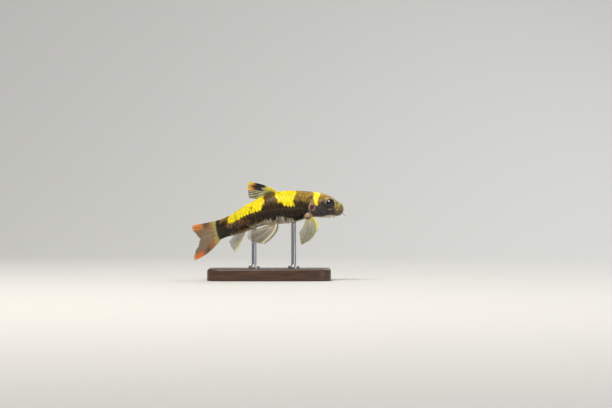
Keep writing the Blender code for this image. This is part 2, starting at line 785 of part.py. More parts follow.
# Finishes: colour, roughness and metallic value
FINISHES = {
    "skin_dark": ((0.16, 0.12, 0.05, 1.0), 0.45, 0.0),
    "skin_head": ((0.33, 0.25, 0.08, 1.0), 0.45, 0.0),
    "fin_web": ((0.62, 0.55, 0.30, 1.0), 0.4, 0.0),
    "fin_tail": ((0.62, 0.33, 0.14, 1.0), 0.4, 0.0),
    "eye": ((0.02, 0.02, 0.03, 1.0), 0.1, 0.0),
    "barbel": ((0.75, 0.74, 0.62, 1.0), 0.4, 0.0),
    "stand_wood": ((0.07, 0.045, 0.03, 1.0), 0.5, 0.0),
    "stand_steel": ((0.55, 0.55, 0.56, 1.0), 0.3, 1.0),
}


def paint(made, finish):
    """Gives an object a plain material of its own, and smooth shading with sharp edges kept."""
    colour, roughness, metallic = FINISHES[finish]
    material = bpy.data.materials.new(made.name)
    material.use_nodes = True
    shader = material.node_tree.nodes["Principled BSDF"]
    shader.inputs["Base Color"].default_value = colour
    shader.inputs["Roughness"].default_value = roughness
    shader.inputs["Metallic"].default_value = metallic
    made.data.materials.clear()
    made.data.materials.append(material)
    made.data.shade_smooth()
    made.data.set_sharp_from_angle(angle=math.radians(40.0))


def cut_root(made):
    """Cuts a piece clear of the body and of the fins' fleshy bases, by the gap."""
    whole = make_whole_body("whole_body")
    cutter = grown(whole)
    bpy.data.objects.remove(whole)
    for piece in (cutter, *make_fin_bases(GAP)):
        apply_boolean(made, "DIFFERENCE", [piece], "MANIFOLD")
    return made


def main():
    """Builds the fish and its stand in an emptied scene."""
    for old in list(bpy.data.objects):
        bpy.data.objects.remove(old)
    paint(make_head(), "skin_head")
    paint(make_torso(), "skin_dark")
    paint(make_tail_core(), "skin_dark")
    paint(cut_root(make_fin("dorsal_fin", dorsal_ray, DORSAL_RAYS, 8)), "fin_web")
    paint(cut_root(make_fin("anal_fin", anal_ray, ANAL_RAYS, 7)), "fin_web")
    upper_end, lower_start = caudal_split()
    for name, across in (("caudal_fin_upper", (0.0, upper_end)), ("caudal_fin_lower", (lower_start, 1.0))):
        lobe = make_fin(name, caudal_ray, CAUDAL_RAYS_PER_LOBE, 9, across, CAUDAL_ROOT_THICK)
        paint(cut_root(lobe), "fin_tail")
    for side, word in ((1, "right"), (-1, "left")):
        paint(make_eye(f"eye_{word}", side), "eye")
        pectoral = make_fin(f"pectoral_fin_{word}", lambda u: pectoral_ray(u, side), PECTORAL_RAYS, 8)
        paint(cut_root(pectoral), "fin_web")
        pelvic = make_fin(f"pelvic_fin_{word}", lambda u: pelvic_ray(u, side), PELVIC_RAYS, 8)
        paint(cut_root(pelvic), "fin_web")
        for name, root_place in BARBELS.items():
            paint(cut_root(make_barbel(f"{name}_{word}", root_place, side)), "barbel")
    for name, at in ROD_PLACES.items():
        paint(cut_root(make_rod(name, at)), "stand_steel")
    paint(make_base(), "stand_wood")


main()
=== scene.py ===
"""A panda garra on a plain display stand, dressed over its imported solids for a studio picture.

Lengths are in millimetres unless a name says otherwise. Places on the fish are given by at, the distance
from the snout tip along the spine, and by angle, counted round the spine from the back, in radians and
rising towards the right flank. A place's level is the cosine of its angle: 1 on the back, -1 on the belly.
"""

import logging
import math
from dataclasses import dataclass, field
from enum import Enum
from typing import Callable, Iterator, Optional, Sequence

import bpy
import numpy as np
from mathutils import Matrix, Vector


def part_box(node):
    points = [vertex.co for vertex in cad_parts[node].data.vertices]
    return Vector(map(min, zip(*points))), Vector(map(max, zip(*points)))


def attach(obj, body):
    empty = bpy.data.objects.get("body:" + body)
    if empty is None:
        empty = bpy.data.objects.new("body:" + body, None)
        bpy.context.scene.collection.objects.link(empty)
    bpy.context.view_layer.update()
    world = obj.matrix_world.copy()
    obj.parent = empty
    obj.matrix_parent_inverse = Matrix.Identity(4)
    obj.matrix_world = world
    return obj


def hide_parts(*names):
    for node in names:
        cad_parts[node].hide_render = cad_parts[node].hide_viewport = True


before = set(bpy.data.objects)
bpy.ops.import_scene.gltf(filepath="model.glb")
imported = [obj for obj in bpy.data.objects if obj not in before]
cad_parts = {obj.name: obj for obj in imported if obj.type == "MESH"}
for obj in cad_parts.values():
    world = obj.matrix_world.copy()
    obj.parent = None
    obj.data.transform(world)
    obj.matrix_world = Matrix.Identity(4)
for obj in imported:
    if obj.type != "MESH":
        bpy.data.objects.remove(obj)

Array = np.ndarray
Material = bpy.types.Material
NodeTree = bpy.types.NodeTree
Socket = bpy.types.NodeSocket
Pair = tuple[float, float]
Triple = tuple[float, float, float]
Series = tuple[float, ...]

LOG = logging.getLogger("panda_garra")
MM = 0.001
TURN = 2.0 * math.pi
SEED = 7073
# large odd numbers that scatter the corners of the noise lattice
LATTICE_STEPS = np.array([73856093, 19349663, 83492791])
LATTICE_SEED_STEP = 977
LATTICE_SCATTER = 1274126177
# how narrow a tube's closed tips are, as a share of its radius, and how far the last one runs out
TUBE_TIP = 0.02
TUBE_TIP_RUN = 0.5


class Side(Enum):
    """Which side of the fish a paired piece is on; the value is +1 towards its right."""

    RIGHT = 1
    LEFT = -1

    @property
    def word(self) -> str:
        """The side's name in piece names."""
        return self.name.lower()


class Slot(Enum):
    """Material slots of the record; each piece is built with one, but nothing here reads it."""

    BODY = "skin_body"
    WEB = "fin_web"
    TAIL_WEB = "fin_tail"
    EYE = "eyeball"
    BARBEL = "barbel"
    WOOD = "stand_wood"
    STEEL = "stand_steel"


# Numbers and colours


def smooth(value: Array, low: float, high: float) -> Array:
    """Rises from 0 at low to 1 at high in an even S; low may lie above high."""
    share = np.clip((value - low) / (high - low), 0.0, 1.0)
    return share * share * (3.0 - 2.0 * share)


def mix(first: Array, second: Array, share: Array) -> Array:
    """The value that lies the given share of the way from first to second."""
    return first + (second - first) * share


def mound(distance: Array, width: float) -> Array:
    """A round bump of height 1 at distance 0 that fades over about the width."""
    return np.exp(-((distance / width) ** 2))


def unit(vectors: Array) -> Array:
    """The vectors drawn out or in to length 1."""
    return vectors / np.linalg.norm(vectors, axis=-1, keepdims=True)


def linear(code: str) -> Array:
    """Linear red, green and blue of an sRGB hex colour such as "#A08A3A"."""
    srgb = np.array([int(code[place : place + 2], 16) / 255.0 for place in (1, 3, 5)])
    return np.where(srgb <= 0.04045, srgb / 12.92, ((srgb + 0.055) / 1.055) ** 2.4)


def laid(paint: Array, *layers: tuple) -> Array:
    """Lays colours over a base, the lowest layer first.

    Args:
        paint: The base, with its colour channels on the last axis.
        *layers: For each, an sRGB hex colour, where it lies from 0 to 1, and how solid it is if the
            base has alpha.

    Returns:
        The new colours.
    """
    for code, where, *solid in layers:
        paint = mix(paint, np.append(linear(code), solid), np.clip(where, 0.0, 1.0)[..., None])
    return paint


def lattice_noise(points: Array, grain: float, seed: int) -> Array:
    """Smooth noise from -1 to 1 with features about one grain wide.

    Args:
        points: Places, in an array whose last axis holds x, y and z.
        grain: The size of one feature.
        seed: A number that picks the pattern.

    Returns:
        One value for each place.
    """
    cells = points / grain
    base = np.floor(cells).astype(np.int64)
    inner = cells - base
    inner = inner * inner * (3.0 - 2.0 * inner)
    total = np.zeros(points.shape[:-1])
    for corner in range(8):
        step = np.array([(corner >> axis) & 1 for axis in range(3)])
        key = (base + step) @ LATTICE_STEPS + seed * LATTICE_SEED_STEP
        key = (key ^ (key >> 13)) * LATTICE_SCATTER
        height = ((key ^ (key >> 16)) & 0xFFFF) / 0xFFFF
        total += height * np.prod(np.where(step, inner, 1.0 - inner), axis=-1)
    return total * 2.0 - 1.0


class Curve:
    """A smooth curve through values at rising places, which never overshoots them."""

    def __init__(self, places: Sequence[float], values: Sequence[float]) -> None:
        """Keeps the places and values and works out the slope at each.

        Args:
            places: Where the values hold, rising.
            values: The curve's value at each place.
        """
        self.places = np.asarray(places, float)
        self.values = np.asarray(values, float)
        rises = np.diff(self.values) / np.diff(self.places)
        before, after = rises[:-1], rises[1:]
        total = before + after
        total[total == 0.0] = 1.0
        inner = np.where(before * after > 0.0, 2.0 * before * after / total, 0.0)
        self.slopes = np.concatenate([rises[:1], inner, rises[-1:]])

    def __call__(self, place: Array) -> Array:
        """Reads the curve, which is held level past its ends.

        Args:
            place: Where to read it.

        Returns:
            Its value at each place.
        """
        place = np.clip(np.asarray(place, float), self.places[0], self.places[-1])
        index = np.clip(np.searchsorted(self.places, place, "right") - 1, 0, len(self.places) - 2)
        width = self.places[index + 1] - self.places[index]
        t = (place - self.places[index]) / width
        start = (1.0 + 2.0 * t) * (1.0 - t) ** 2 * self.values[index]
        start += t * (1.0 - t) ** 2 * width * self.slopes[index]
        end = t * t * (3.0 - 2.0 * t) * self.values[index + 1]
        return start + end + t * t * (t - 1.0) * width * self.slopes[index + 1]


# Meshes


def placed(name: str, data: bpy.types.ID) -> bpy.types.Object:
    """Puts a new object into the scene.

    Args:
        name: Its name.
        data: The mesh, lamp or camera that it shows.

    Returns:
        The object.
    """
    made = bpy.data.objects.new(name, data)
    bpy.context.scene.collection.objects.link(made)
    return made


@dataclass
class Shell:
    """Mesh data: points, four-cornered faces, and what is painted on the points.

    The tint has three or four colour channels, corners holds a UV place for each face's corner, marks are
    further numbers on the points, and finish picks one of the piece's materials for each face.
    """

    points: Array
    quads: Array
    tint: Array
    corners: Optional[Array] = None
    marks: dict[str, Array] = field(default_factory=dict)
    finish: Optional[Array] = None

    def mesh(self, name: str) -> bpy.types.Mesh:
        """Makes a smooth mesh with the shell's colours, marks and UV map.

        Args:
            name: The mesh's name.

        Returns:
            The new mesh, in metres.
        """
        count = len(self.quads)
        mesh = bpy.data.meshes.new(name)
        mesh.vertices.add(len(self.points))
        mesh.vertices.foreach_set("co", (self.points * MM).astype(np.float32).ravel())
        mesh.loops.add(self.quads.size)
        mesh.loops.foreach_set("vertex_index", self.quads.astype(np.int32).ravel())
        mesh.polygons.add(count)
        mesh.polygons.foreach_set("loop_start", np.arange(count, dtype=np.int32) * 4)
        mesh.polygons.foreach_set("loop_total", np.full(count, 4, dtype=np.int32))
        if self.finish is not None:
            mesh.polygons.foreach_set("material_index", self.finish.astype(np.int32))
        mesh.polygons.foreach_set("use_smooth", np.full(count, True))
        opaque = np.ones((len(self.points), 4))
        opaque[:, : self.tint.shape[1]] = self.tint
        colour = mesh.attributes.new("tint", "FLOAT_COLOR", "POINT")
        colour.data.foreach_set("color", opaque.astype(np.float32).ravel())
        for word, values in self.marks.items():
            mark = mesh.attributes.new(word, "FLOAT", "POINT")
            mark.data.foreach_set("value", values.astype(np.float32).ravel())
        if self.corners is not None:
            layer = mesh.uv_layers.new(name="OFBake")
            layer.uv.foreach_set("vector", self.corners.astype(np.float32).ravel())
        mesh.update(calc_edges=True)
        mesh.validate()
        return mesh

    def piece(self, name: str, materials: Sequence[Material], slot: Slot, *nodes: str) -> str:
        """Makes the shell a shown piece of the fish or its stand.

        Args:
            name: The piece's name.
            materials: One material for each number in finish, or just one.
            slot: Not used.
            *nodes: The solids that it stands in for.

        Returns:
            The piece's name.
        """
        mesh = self.mesh(name)
        for material in materials:
            mesh.materials.append(material)
        made = placed(name, mesh)
        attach(made, "root")
        if nodes:
            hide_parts(*nodes)
        return name


def joined(shells: Sequence[Shell]) -> Shell:
    """Joins shells that carry the same kinds of marks and finish and have no UV map.

    Args:
        shells: The shells, in the order in which they are joined.

    Returns:
        One shell with all their points and faces.
    """
    shift = np.cumsum([0] + [len(shell.points) for shell in shells[:-1]])
    return Shell(
        np.concatenate([shell.points for shell in shells]),
        np.concatenate([shell.quads + start for shell, start in zip(shells, shift)]),
        np.concatenate([shell.tint for shell in shells]),
        marks={word: np.concatenate([shell.marks[word] for shell in shells]) for word in shells[0].marks},
        finish=np.concatenate([shell.finish for shell in shells]),
    )


def grid_quads(rows: int, columns: int, wrapped: bool = False, flipped: bool = False) -> Array:
    """Faces between neighbouring points of a grid that is numbered row by row.

    Args:
        rows: How many rows of points there are.
        columns: How many points each row has.
        wrapped: True if each row's last point is joined to its first.
        flipped: True to turn the faces over.

    Returns:
        An array with four point numbers for each face.
    """
    row = np.arange(rows - 1)[:, None]
    column = np.arange(columns if wrapped else columns - 1)[None, :]
    after = (column + 1) % columns
    a, b = row * columns + column, row * columns + after
    quads = np.stack([a, b, b + columns, a + columns], axis=-1).reshape(-1, 4)
    return quads[:, ::-1] if flipped else quads


def end_caps(rows: int, columns: int, flipped: bool = False) -> Array:
    """Faces that close the first and last row of a wrapped grid with an even number of columns.

    Args:
        rows: How many rows of points there are.
        columns: How many points each row has.
        flipped: True if the grid's own faces are turned over.

    Returns:
        An array with four point numbers for each face.
    """
    first = np.array([[0, k + 2, k + 1, k] for k in range(1, columns - 2, 2)])
    caps = np.concatenate([first, first[:, ::-1] + (rows - 1) * columns])
    return caps[:, ::-1] if flipped else caps


def sheet_quads(rows: int, columns: int, flipped: bool = False) -> Array:
    """Faces of a closed thin sheet between two like grids, the second numbered on from the first.

    Args:
        rows: How many rows of points each grid has.
        columns: How many points each row has.
        flipped: True to turn the faces over.

    Returns:
        An array with four point numbers for each face: both sides and then the rim between them.
    """
    per = rows * columns
    grid = np.arange(per).reshape(rows, columns)
    loop = np.concatenate([grid[0], grid[1:, -1], grid[-1, -2::-1], grid[-2:0:-1, 0]])
    after = np.roll(loop, -1)
    rim = np.stack([loop, loop + per, after + per, after], axis=-1)
    rim = rim[:, [0, 3, 2, 1]] if flipped else rim
    under = grid_quads(rows, columns, flipped=not flipped) + per
    return np.concatenate([grid_quads(rows, columns, flipped=flipped), under, rim])


def tube(line: Array, radii: Array, sides: int, normal: Array) -> tuple[Array, Array]:
    """A tube along a line of points with its ends drawn in to small closed tips.

    Args:
        line: The points it follows.
        radii: Its radius at each point.
        sides: How many sides it has.
        normal: A direction that isn't along the line, which its sides are counted from.

    Returns:
        Its points and its four-cornered faces.
    """
    along = unit(np.gradient(line, axis=0))
    line = np.concatenate([line[:1], line, line[-1:] + along[-1:] * radii[-1] * TUBE_TIP_RUN])
    along = np.concatenate([along[:1], along, along[-1:]])
    radii = np.concatenate([radii[:1] * TUBE_TIP, radii, radii[-1:] * TUBE_TIP])
    across = unit(np.cross(along, normal))
    third = np.cross(along, across)
    turns = np.arange(sides) * TURN / sides
    ring = across[:, None] * np.cos(turns)[None, :, None] + third[:, None] * np.sin(turns)[None, :, None]
    points = line[:, None] + ring * radii[:, None, None]
    quads = grid_quads(len(line), sides, wrapped=True, flipped=True)
    return points.reshape(-1, 3), np.concatenate([quads, end_caps(len(line), sides, flipped=True)])


# The fish's form


@dataclass
class Spine:
    """The line that the fish is built round, counted from the snout tip towards the tail."""

    snout: Triple = (31.4, -3.0, 31.5)
    neck_droop: float = math.radians(4.0)
    neck_bend: Pair = (8.0, 25.0)
    tail_droop: float = math.radians(20.5)
    tail_bend: Pair = (23.4, 40.5)
    tail_lift: float = math.radians(9.0)
    lift_bend: Pair = (41.0, 53.0)
    tail_swing: float = math.radians(38.0)
    swing_bend: Pair = (22.0, 54.0)
    step: float = 0.25
    length: float = 82.0

    def __post_init__(self) -> None:
        """Traces the line at even steps."""
        self.marks = np.arange(0.0, self.length + self.step, self.step)
        runs = self.tailward(self.marks[:-1] + self.step / 2.0) * self.step
        self.line = np.concatenate([[self.snout], np.cumsum(runs, axis=0) + self.snout])

    def tailward(self, at: Array) -> Array:
        """The line's direction.

        Args:
            at: Distances from the snout.

        Returns:
            A unit vector towards the tail for each.
        """
        at = np.asarray(at, float)
        droop = self.neck_droop * smooth(at, *self.neck_bend)
        droop = droop + self.tail_droop * smooth(at, *self.tail_bend)
        droop = droop - self.tail_lift * smooth(at, *self.lift_bend)
        swing = self.tail_swing * smooth(at, *self.swing_bend)
        level = np.cos(droop)
        return np.stack([-level * np.cos(swing), level * np.sin(swing), -np.sin(droop)], axis=-1)

    def frame(self, at: Array) -> tuple[Array, Array, Array]:
        """The body's own directions.

        Args:
            at: Distances from the snout.

        Returns:
            Unit vectors towards the tail, towards the fish's right, and up from its belly.
        """
        back = self.tailward(at)
        right = unit(np.cross((0.0, 0.0, 1.0), back))
        return back, right, np.cross(back, right)

    def place(self, at: Array, sideways: Array, up: Array) -> Array:
        """Places beside and above the line.

        Args:
            at: Distances from the snout.
            sideways: How far to the fish's right of the line each place lies.
            up: How far above it.

        Returns:
            The places.
        """
        at, sideways, up = (np.asarray(values, float) for values in (at, sideways, up))
        _, right, above = self.frame(at)
        line = np.stack([np.interp(at, self.marks, self.line[:, axis]) for axis in range(3)], axis=-1)
        # ahead of the snout the line goes straight on
        line = line + self.tailward(0.0) * np.minimum(at, 0.0)[..., None]
        return line + right * sideways[..., None] + above * up[..., None]

    def offset(self, at: float, move: Sequence[float], side: Side) -> Array:
        """The vector that moves so far towards the tail, out on that side of the fish, and up."""
        back, right, above = self.frame(at)
        return back * move[0] + right * move[1] * side.value + above * move[2]


@dataclass
class BodyForm:
    """Cross-sections of head, trunk and tail."""

    spine: Spine = field(default_factory=Spine)
    length: float = 58.5
    snout_round: float = 3.2
    gill_rear: float = 14.8
    gill_sweep: float = 3.6
    gill_curve: float = 1.6
    # past the tail's root the flesh thins out over the fin: by which share, and over which stretch
    root_thinning: float = 0.62
    root_stretch: Pair = (-0.6, 1.6)
    # distance from the snout; levels of back, belly and widest place; half the width; belly squareness
    stations: tuple[Series, ...] = (
        (0.0, 1.35, -4.3, -1.5, 3.7, 2.1),
        (2.7, 2.2, -4.1, -1.4, 4.05, 2.3),
        (5.2, 4.1, -4.3, -1.2, 4.7, 2.6),
        (8.0, 5.2, -4.5, -1.1, 5.1, 2.8),
        (11.5, 5.85, -4.7, -0.9, 5.35, 2.8),
        (16.0, 6.3, -5.6, -0.8, 5.35, 2.5),
        (22.5, 6.95, -6.85, -0.7, 5.25, 2.3),
        (28.5, 6.8, -6.8, -0.5, 5.0, 2.2),
        (37.0, 5.55, -5.55, -0.2, 4.1, 2.1),
        (43.5, 5.05, -5.0, 0.0, 3.3, 2.0),
        (50.0, 4.35, -4.35, 0.0, 2.5, 2.0),
        (55.0, 4.0, -4.0, 0.0, 1.9, 2.0),
        (58.5, 4.2, -4.2, 0.0, 1.15, 2.0),
    )

    def __post_init__(self) -> None:
        """Makes one curve for each measure of the cross-section."""
        columns = list(zip(*self.stations))
        curves = [Curve(columns[0], column) for column in columns[1:]]
        self.back, self.belly, self.widest, self.half_width, self.square = curves

    def gill_edge(self, angle: Array) -> Array:
        """How far from the snout the gill cover's rear edge lies."""
        return self.gill_rear - self.gill_sweep * np.abs(np.cos(angle)) ** self.gill_curve

    def surface(self, at: Array, angle: Array, lift: Array = 0.0) -> Array:
        """Places on or above the body's surface.

        Args:
            at: Distances from the snout.
            angle: Angles from the back.
            lift: How far out of the surface each place lies.

        Returns:
            The places.
        """
        at, angle = np.broadcast_arrays(np.asarray(at, float), np.asarray(angle, float))
        blunt = np.sqrt(np.maximum(1.0 - (1.0 - np.clip(at / self.snout_round, 0.0, 1.0)) ** 2, 0.0))
        across, along = np.sin(angle), np.cos(angle)
        upper = along >= 0.0
        widest = self.widest(at)
        height = np.where(upper, self.back(at) - widest, widest - self.belly(at))
        power = np.where(upper, 1.0, 2.0 / self.square(at))
        start, end = self.root_stretch
        thin = 1.0 - self.root_thinning * smooth(at, self.length + start, self.length + end)
        sideways = blunt * thin * self.half_width(at) * np.sign(across) * np.abs(across) ** power
        up = widest + blunt * height * np.sign(along) * np.abs(along) ** power
        return self.spine.place(at, sideways + lift * across, up + lift * along)

    def radius(self, at: float, angle: float) -> float:
        """How far the surface lies from the middle of the cross-section."""
        middle = self.spine.place(at, 0.0, self.widest(at))
        return float(np.linalg.norm(self.surface(at, angle) - middle))

    def axes(self, at: float, angle: float, side: Side) -> tuple[Array, Array, Array]:
        """Directions at one place on the surface.

        Args:
            at: Its distance from the snout.
            angle: Its angle from the back.
            side: Its side of the fish.

        Returns:
            Unit vectors towards the tail, out of the surface, and round it upwards.
        """
        back, right, above = self.spine.frame(at)
        out = unit(right * math.sin(angle) * side.value + above * math.cos(angle))
        return back, out, np.cross(back, out) * side.value


@dataclass(frozen=True)
class Spot:
    """A place on both sides of the fish: its distance from the snout and its degrees from the back."""

    at: float
    degrees: float

    @property
    def angle(self) -> float:
        """Its angle from the back in radians."""
        return math.radians(self.degrees)

    def away(self, form: BodyForm, at: Array, angle: Array, tall: float = 1.0) -> Array:
        """How far places lie from this one; it reaches tall times as far round the body as along it."""
        rise = (np.abs(angle) - self.angle) * form.radius(self.at, self.angle) / tall
        return np.hypot(at - self.at, rise)


@dataclass(frozen=True)
class Ring:
    """A soft ridge at a distance from a middle, or a groove where its height is below 0."""

    distance: float
    width: float
    height: float

    def lift(self, away: Array) -> Array:
        """Its height where places lie so far from the middle."""
        return self.height * mound(away - self.distance, self.width)


@dataclass(frozen=True)
class Bump:
    """A soft swelling round a spot, or a hollow where its height is below 0."""

    spot: Spot
    width: float
    height: float
    tall: float = 1.0

    def lift(self, form: BodyForm, at: Array, angle: Array) -> Array:
        """Its height at each place on the body."""
        return self.height * mound(self.spot.away(form, at, angle, self.tall), self.width)


@dataclass
class HeadRelief:
    """What stands out of the head and sinks into it: eye rims, nostrils, mouth, lips and gill covers."""

    form: BodyForm
    eye: Spot = Spot(5.75, 66.0)
    eye_folds: tuple[Ring, ...] = (Ring(2.55, 0.34, 0.24), Ring(3.2, 0.24, -0.12), Ring(3.7, 0.28, 0.08))
    nostrils: tuple[Spot, Spot] = (Spot(2.35, 45.0), Spot(3.2, 44.0))
    # the pit and the rim of each nostril
    nostril_rings: tuple[tuple[Ring, Ring], ...] = (
        (Ring(0.0, 0.27, -0.62), Ring(0.5, 0.15, 0.14)),
        (Ring(0.0, 0.32, -0.66), Ring(0.56, 0.14, 0.10)),
    )
    # the flap between the nostrils, the dip before the eye, the dent behind the snout, and the cheek
    bumps: tuple[Bump, ...] = (
        Bump(Spot(2.76, 44.5), 0.17, 0.34, 2.4),
        Bump(Spot(2.9, 76.0), 0.8, -0.20),
        Bump(Spot(4.6, 0.0), 1.3, -0.16),
        Bump(Spot(7.2, 112.0), 1.6, 0.12),
    )
    snout_swell: Ring = Ring(1.0, 0.85, 0.42)
    mouth_centre: float = 4.6
    mouth_width: float = 1.12
    # upper lip, lower lip and the slit between them, by distance from the mouth's centre, and the fringe
    lips: tuple[Ring, ...] = (Ring(3.25, 0.34, 0.24), Ring(2.12, 0.30, 0.34), Ring(2.7, 0.19, -0.95))
    fringe: Ring = Ring(3.08, 0.22, 0.08)
    fringe_teeth: float = 46.0
    disc_centre: float = 5.3
    disc_half: Pair = (1.35, 1.75)
    disc_lift: float = 0.36
    disc_rings: tuple[Ring, ...] = (Ring(0.66, 0.10, -0.07), Ring(1.12, 0.12, -0.06))
    throat_lift: float = 0.50
    cover_lips: Pair = (0.35, 0.08)
    strut_height: float = 0.03
    rib_height: float = 0.035
    tubercles: int = 46
    tubercle_sizes: Pair = (0.09, 0.15)
    pores: int = 15
    pore_circle: float = 3.45
    pectoral_base: Spot = Spot(15.1, 134.0)
    pectoral_stretch: float = 1.15
    pelvic_base: Spot = Spot(30.3, 154.0)
    lobe_lifts: Pair = (1.35, 0.62)

    def eye_lift(self, at: Array, angle: Array) -> Array:
        """The soft folds of skin round the eye."""
        away = self.eye.away(self.form, at, angle)
        return sum(fold.lift(away) for fold in self.eye_folds)

    def nostril_lift(self, at: Array, angle: Array) -> Array:
        """Two pits on each side, each with a raised rim."""
        aways = (spot.away(self.form, at, angle) for spot in self.nostrils)
        return sum(pit.lift(away) + rim.lift(away) for away, (pit, rim) in zip(aways, self.nostril_rings))

    def sideways(self, at: Array, angle: Array) -> Array:
        """How far each place under the head lies from the middle line, by the mouth's own measure."""
        return np.sin(angle) * self.form.half_width(at) * self.mouth_width

    def mouth_ring(self, at: Array, angle: Array) -> Array:
        """How far each place under the head lies from the middle of the mouth's arc."""
        return np.hypot(at - self.mouth_centre, self.sideways(at, angle))

    def mouth_lift(self, at: Array, angle: Array) -> Array:
        """The crescent mouth under the snout, its lips, the round disc behind it, and the throat.

        Args:
            at: Distances from the snout.
            angle: Angles from the back.

        Returns:
            The lift at each place.
        """
        down = -np.cos(angle)
        sideways = self.sideways(at, angle)
        ring = self.mouth_ring(at, angle)
        front = smooth(at, self.mouth_centre + 0.9, self.mouth_centre - 0.4)
        teeth = np.cos(np.arctan2(sideways, self.mouth_centre - at) * self.fringe_teeth)
        lips = sum(lip.lift(ring) for lip in self.lips) + teeth * self.fringe.lift(ring)
        disc = np.hypot((at - self.disc_centre) / self.disc_half[0], sideways / self.disc_half[1])
        pad = self.disc_lift * smooth(disc, 1.45, 0.45) + sum(groove.lift(disc) for groove in self.disc_rings)
        throat = self.throat_lift * smooth(down, 0.66, 0.97) * smooth(at, 4.6, 6.4) * smooth(at, 12.0, 8.5)
        return smooth(down, 0.05, 0.5) * (lips * front + pad) + throat

    def cover_lift(self, at: Array, angle: Array) -> Array:
        """The gill cover's raised rear part, the bones' edges on it, and the throat's ribs.

        Args:
            at: Distances from the snout.
            angle: Angles from the back.

        Returns:
            The lift at each place.
        """
        edge = self.form.gill_edge(angle)
        flank = np.abs(np.sin(angle)) ** 3
        around = np.abs(angle)
        raised, groove = self.cover_lips
        cover = raised * smooth(at, edge - 5.2, edge - 0.6) - groove * mound(at - edge + 0.75, 0.22)
        ridge = edge - 4.3 + 0.5 * np.cos(angle * 2.0)
        cheek = 0.15 * mound(at - ridge, 0.45) - 0.20 * mound(at - ridge - 0.62, 0.24)
        seam = (around - math.radians(116.0) + (at - 11.0) * 0.075) * 5.0
        lower = -0.14 * mound(seam, 0.22) * smooth(at, 10.6, 11.4)
        fan = np.cos(np.arctan2(around - 1.55, (at - 10.4) / 5.0) * 17.0)
        struts = self.strut_height * fan * smooth(at, 11.0, 12.2)
        ribs = self.rib_height * np.cos((around - 2.3) * 34.0) * smooth(around, 2.1, 2.35)
        return flank * (cover + cheek + lower + struts) + ribs * smooth(at, 8.5, 9.5)

    def pimple_lift(self, at: Array, angle: Array) -> Array:
        """Small horny tubercles scattered on the snout, and the pores of the sense canals round the eye.

        Args:
            at: Distances from the snout.
            angle: Angles from the back.

        Returns:
            The lift at each place.
        """
        draw = np.random.default_rng(SEED)
        lift = np.zeros_like(at)
        for _ in range(self.tubercles):
            spot = Spot(draw.uniform(0.7, 3.9), draw.uniform(20.0, 100.0))
            size = draw.uniform(*self.tubercle_sizes)
            if spot.away(self.form, np.float64(self.eye.at), np.float64(self.eye.angle)) > 3.2:
                lift += Bump(spot, size, 0.55 * size).lift(self.form, at, angle)
        for pore in range(self.pores):
            turn = mix(math.radians(-150.0), math.radians(60.0), pore / (self.pores - 1))
            ahead, rise = self.pore_circle * math.cos(turn), self.pore_circle * math.sin(turn)
            rise = math.degrees(rise / self.form.radius(self.eye.at, self.eye.angle))
            spot = Spot(self.eye.at + ahead, self.eye.degrees - rise)
            lift += Bump(spot, 0.12, -0.16).lift(self.form, at, angle)
        return lift

    def pectoral_away(self, at: Array, angle: Array) -> Array:
        """How far each place lies from the middle of the pectoral fin's fleshy base."""
        return self.pectoral_base.away(self.form, at, angle, self.pectoral_stretch)

    def pelvic_away(self, at: Array, angle: Array) -> Array:
        """How far each place lies from the middle of the pelvic fin's fleshy base."""
        return self.pelvic_base.away(self.form, at, angle)

    def base_lift(self, at: Array, angle: Array) -> Array:
        """The fleshy bases of the paired fins, with a groove round the pectoral one.

        Args:
            at: Distances from the snout.
            angle: Angles from the back.

        Returns:
            The lift at each place.
        """
        pectoral = self.pectoral_away(at, angle)
        high, low = self.lobe_lifts
        lobes = high * smooth(pectoral, 2.15, 0.5) + low * smooth(self.pelvic_away(at, angle), 1.9, 0.2)
        return lobes - 0.10 * mound(pectoral - 2.1, 0.25)

    def lift(self, at: Array, angle: Array) -> Array:
        """All of it together but the gill covers.

        Args:
            at: Distances from the snout.
            angle: Angles from the back.

        Returns:
            How far out of the surface each place lies.
        """
        parts = (self.eye_lift, self.nostril_lift, self.mouth_lift, self.pimple_lift, self.base_lift)
        lift = sum(part(at, angle) for part in parts)
        lift = lift + sum(bump.lift(self.form, at, angle) for bump in self.bumps)
        return lift + self.snout_swell.lift(at) * smooth(np.cos(angle), 0.10, 0.65)


# The fish's markings


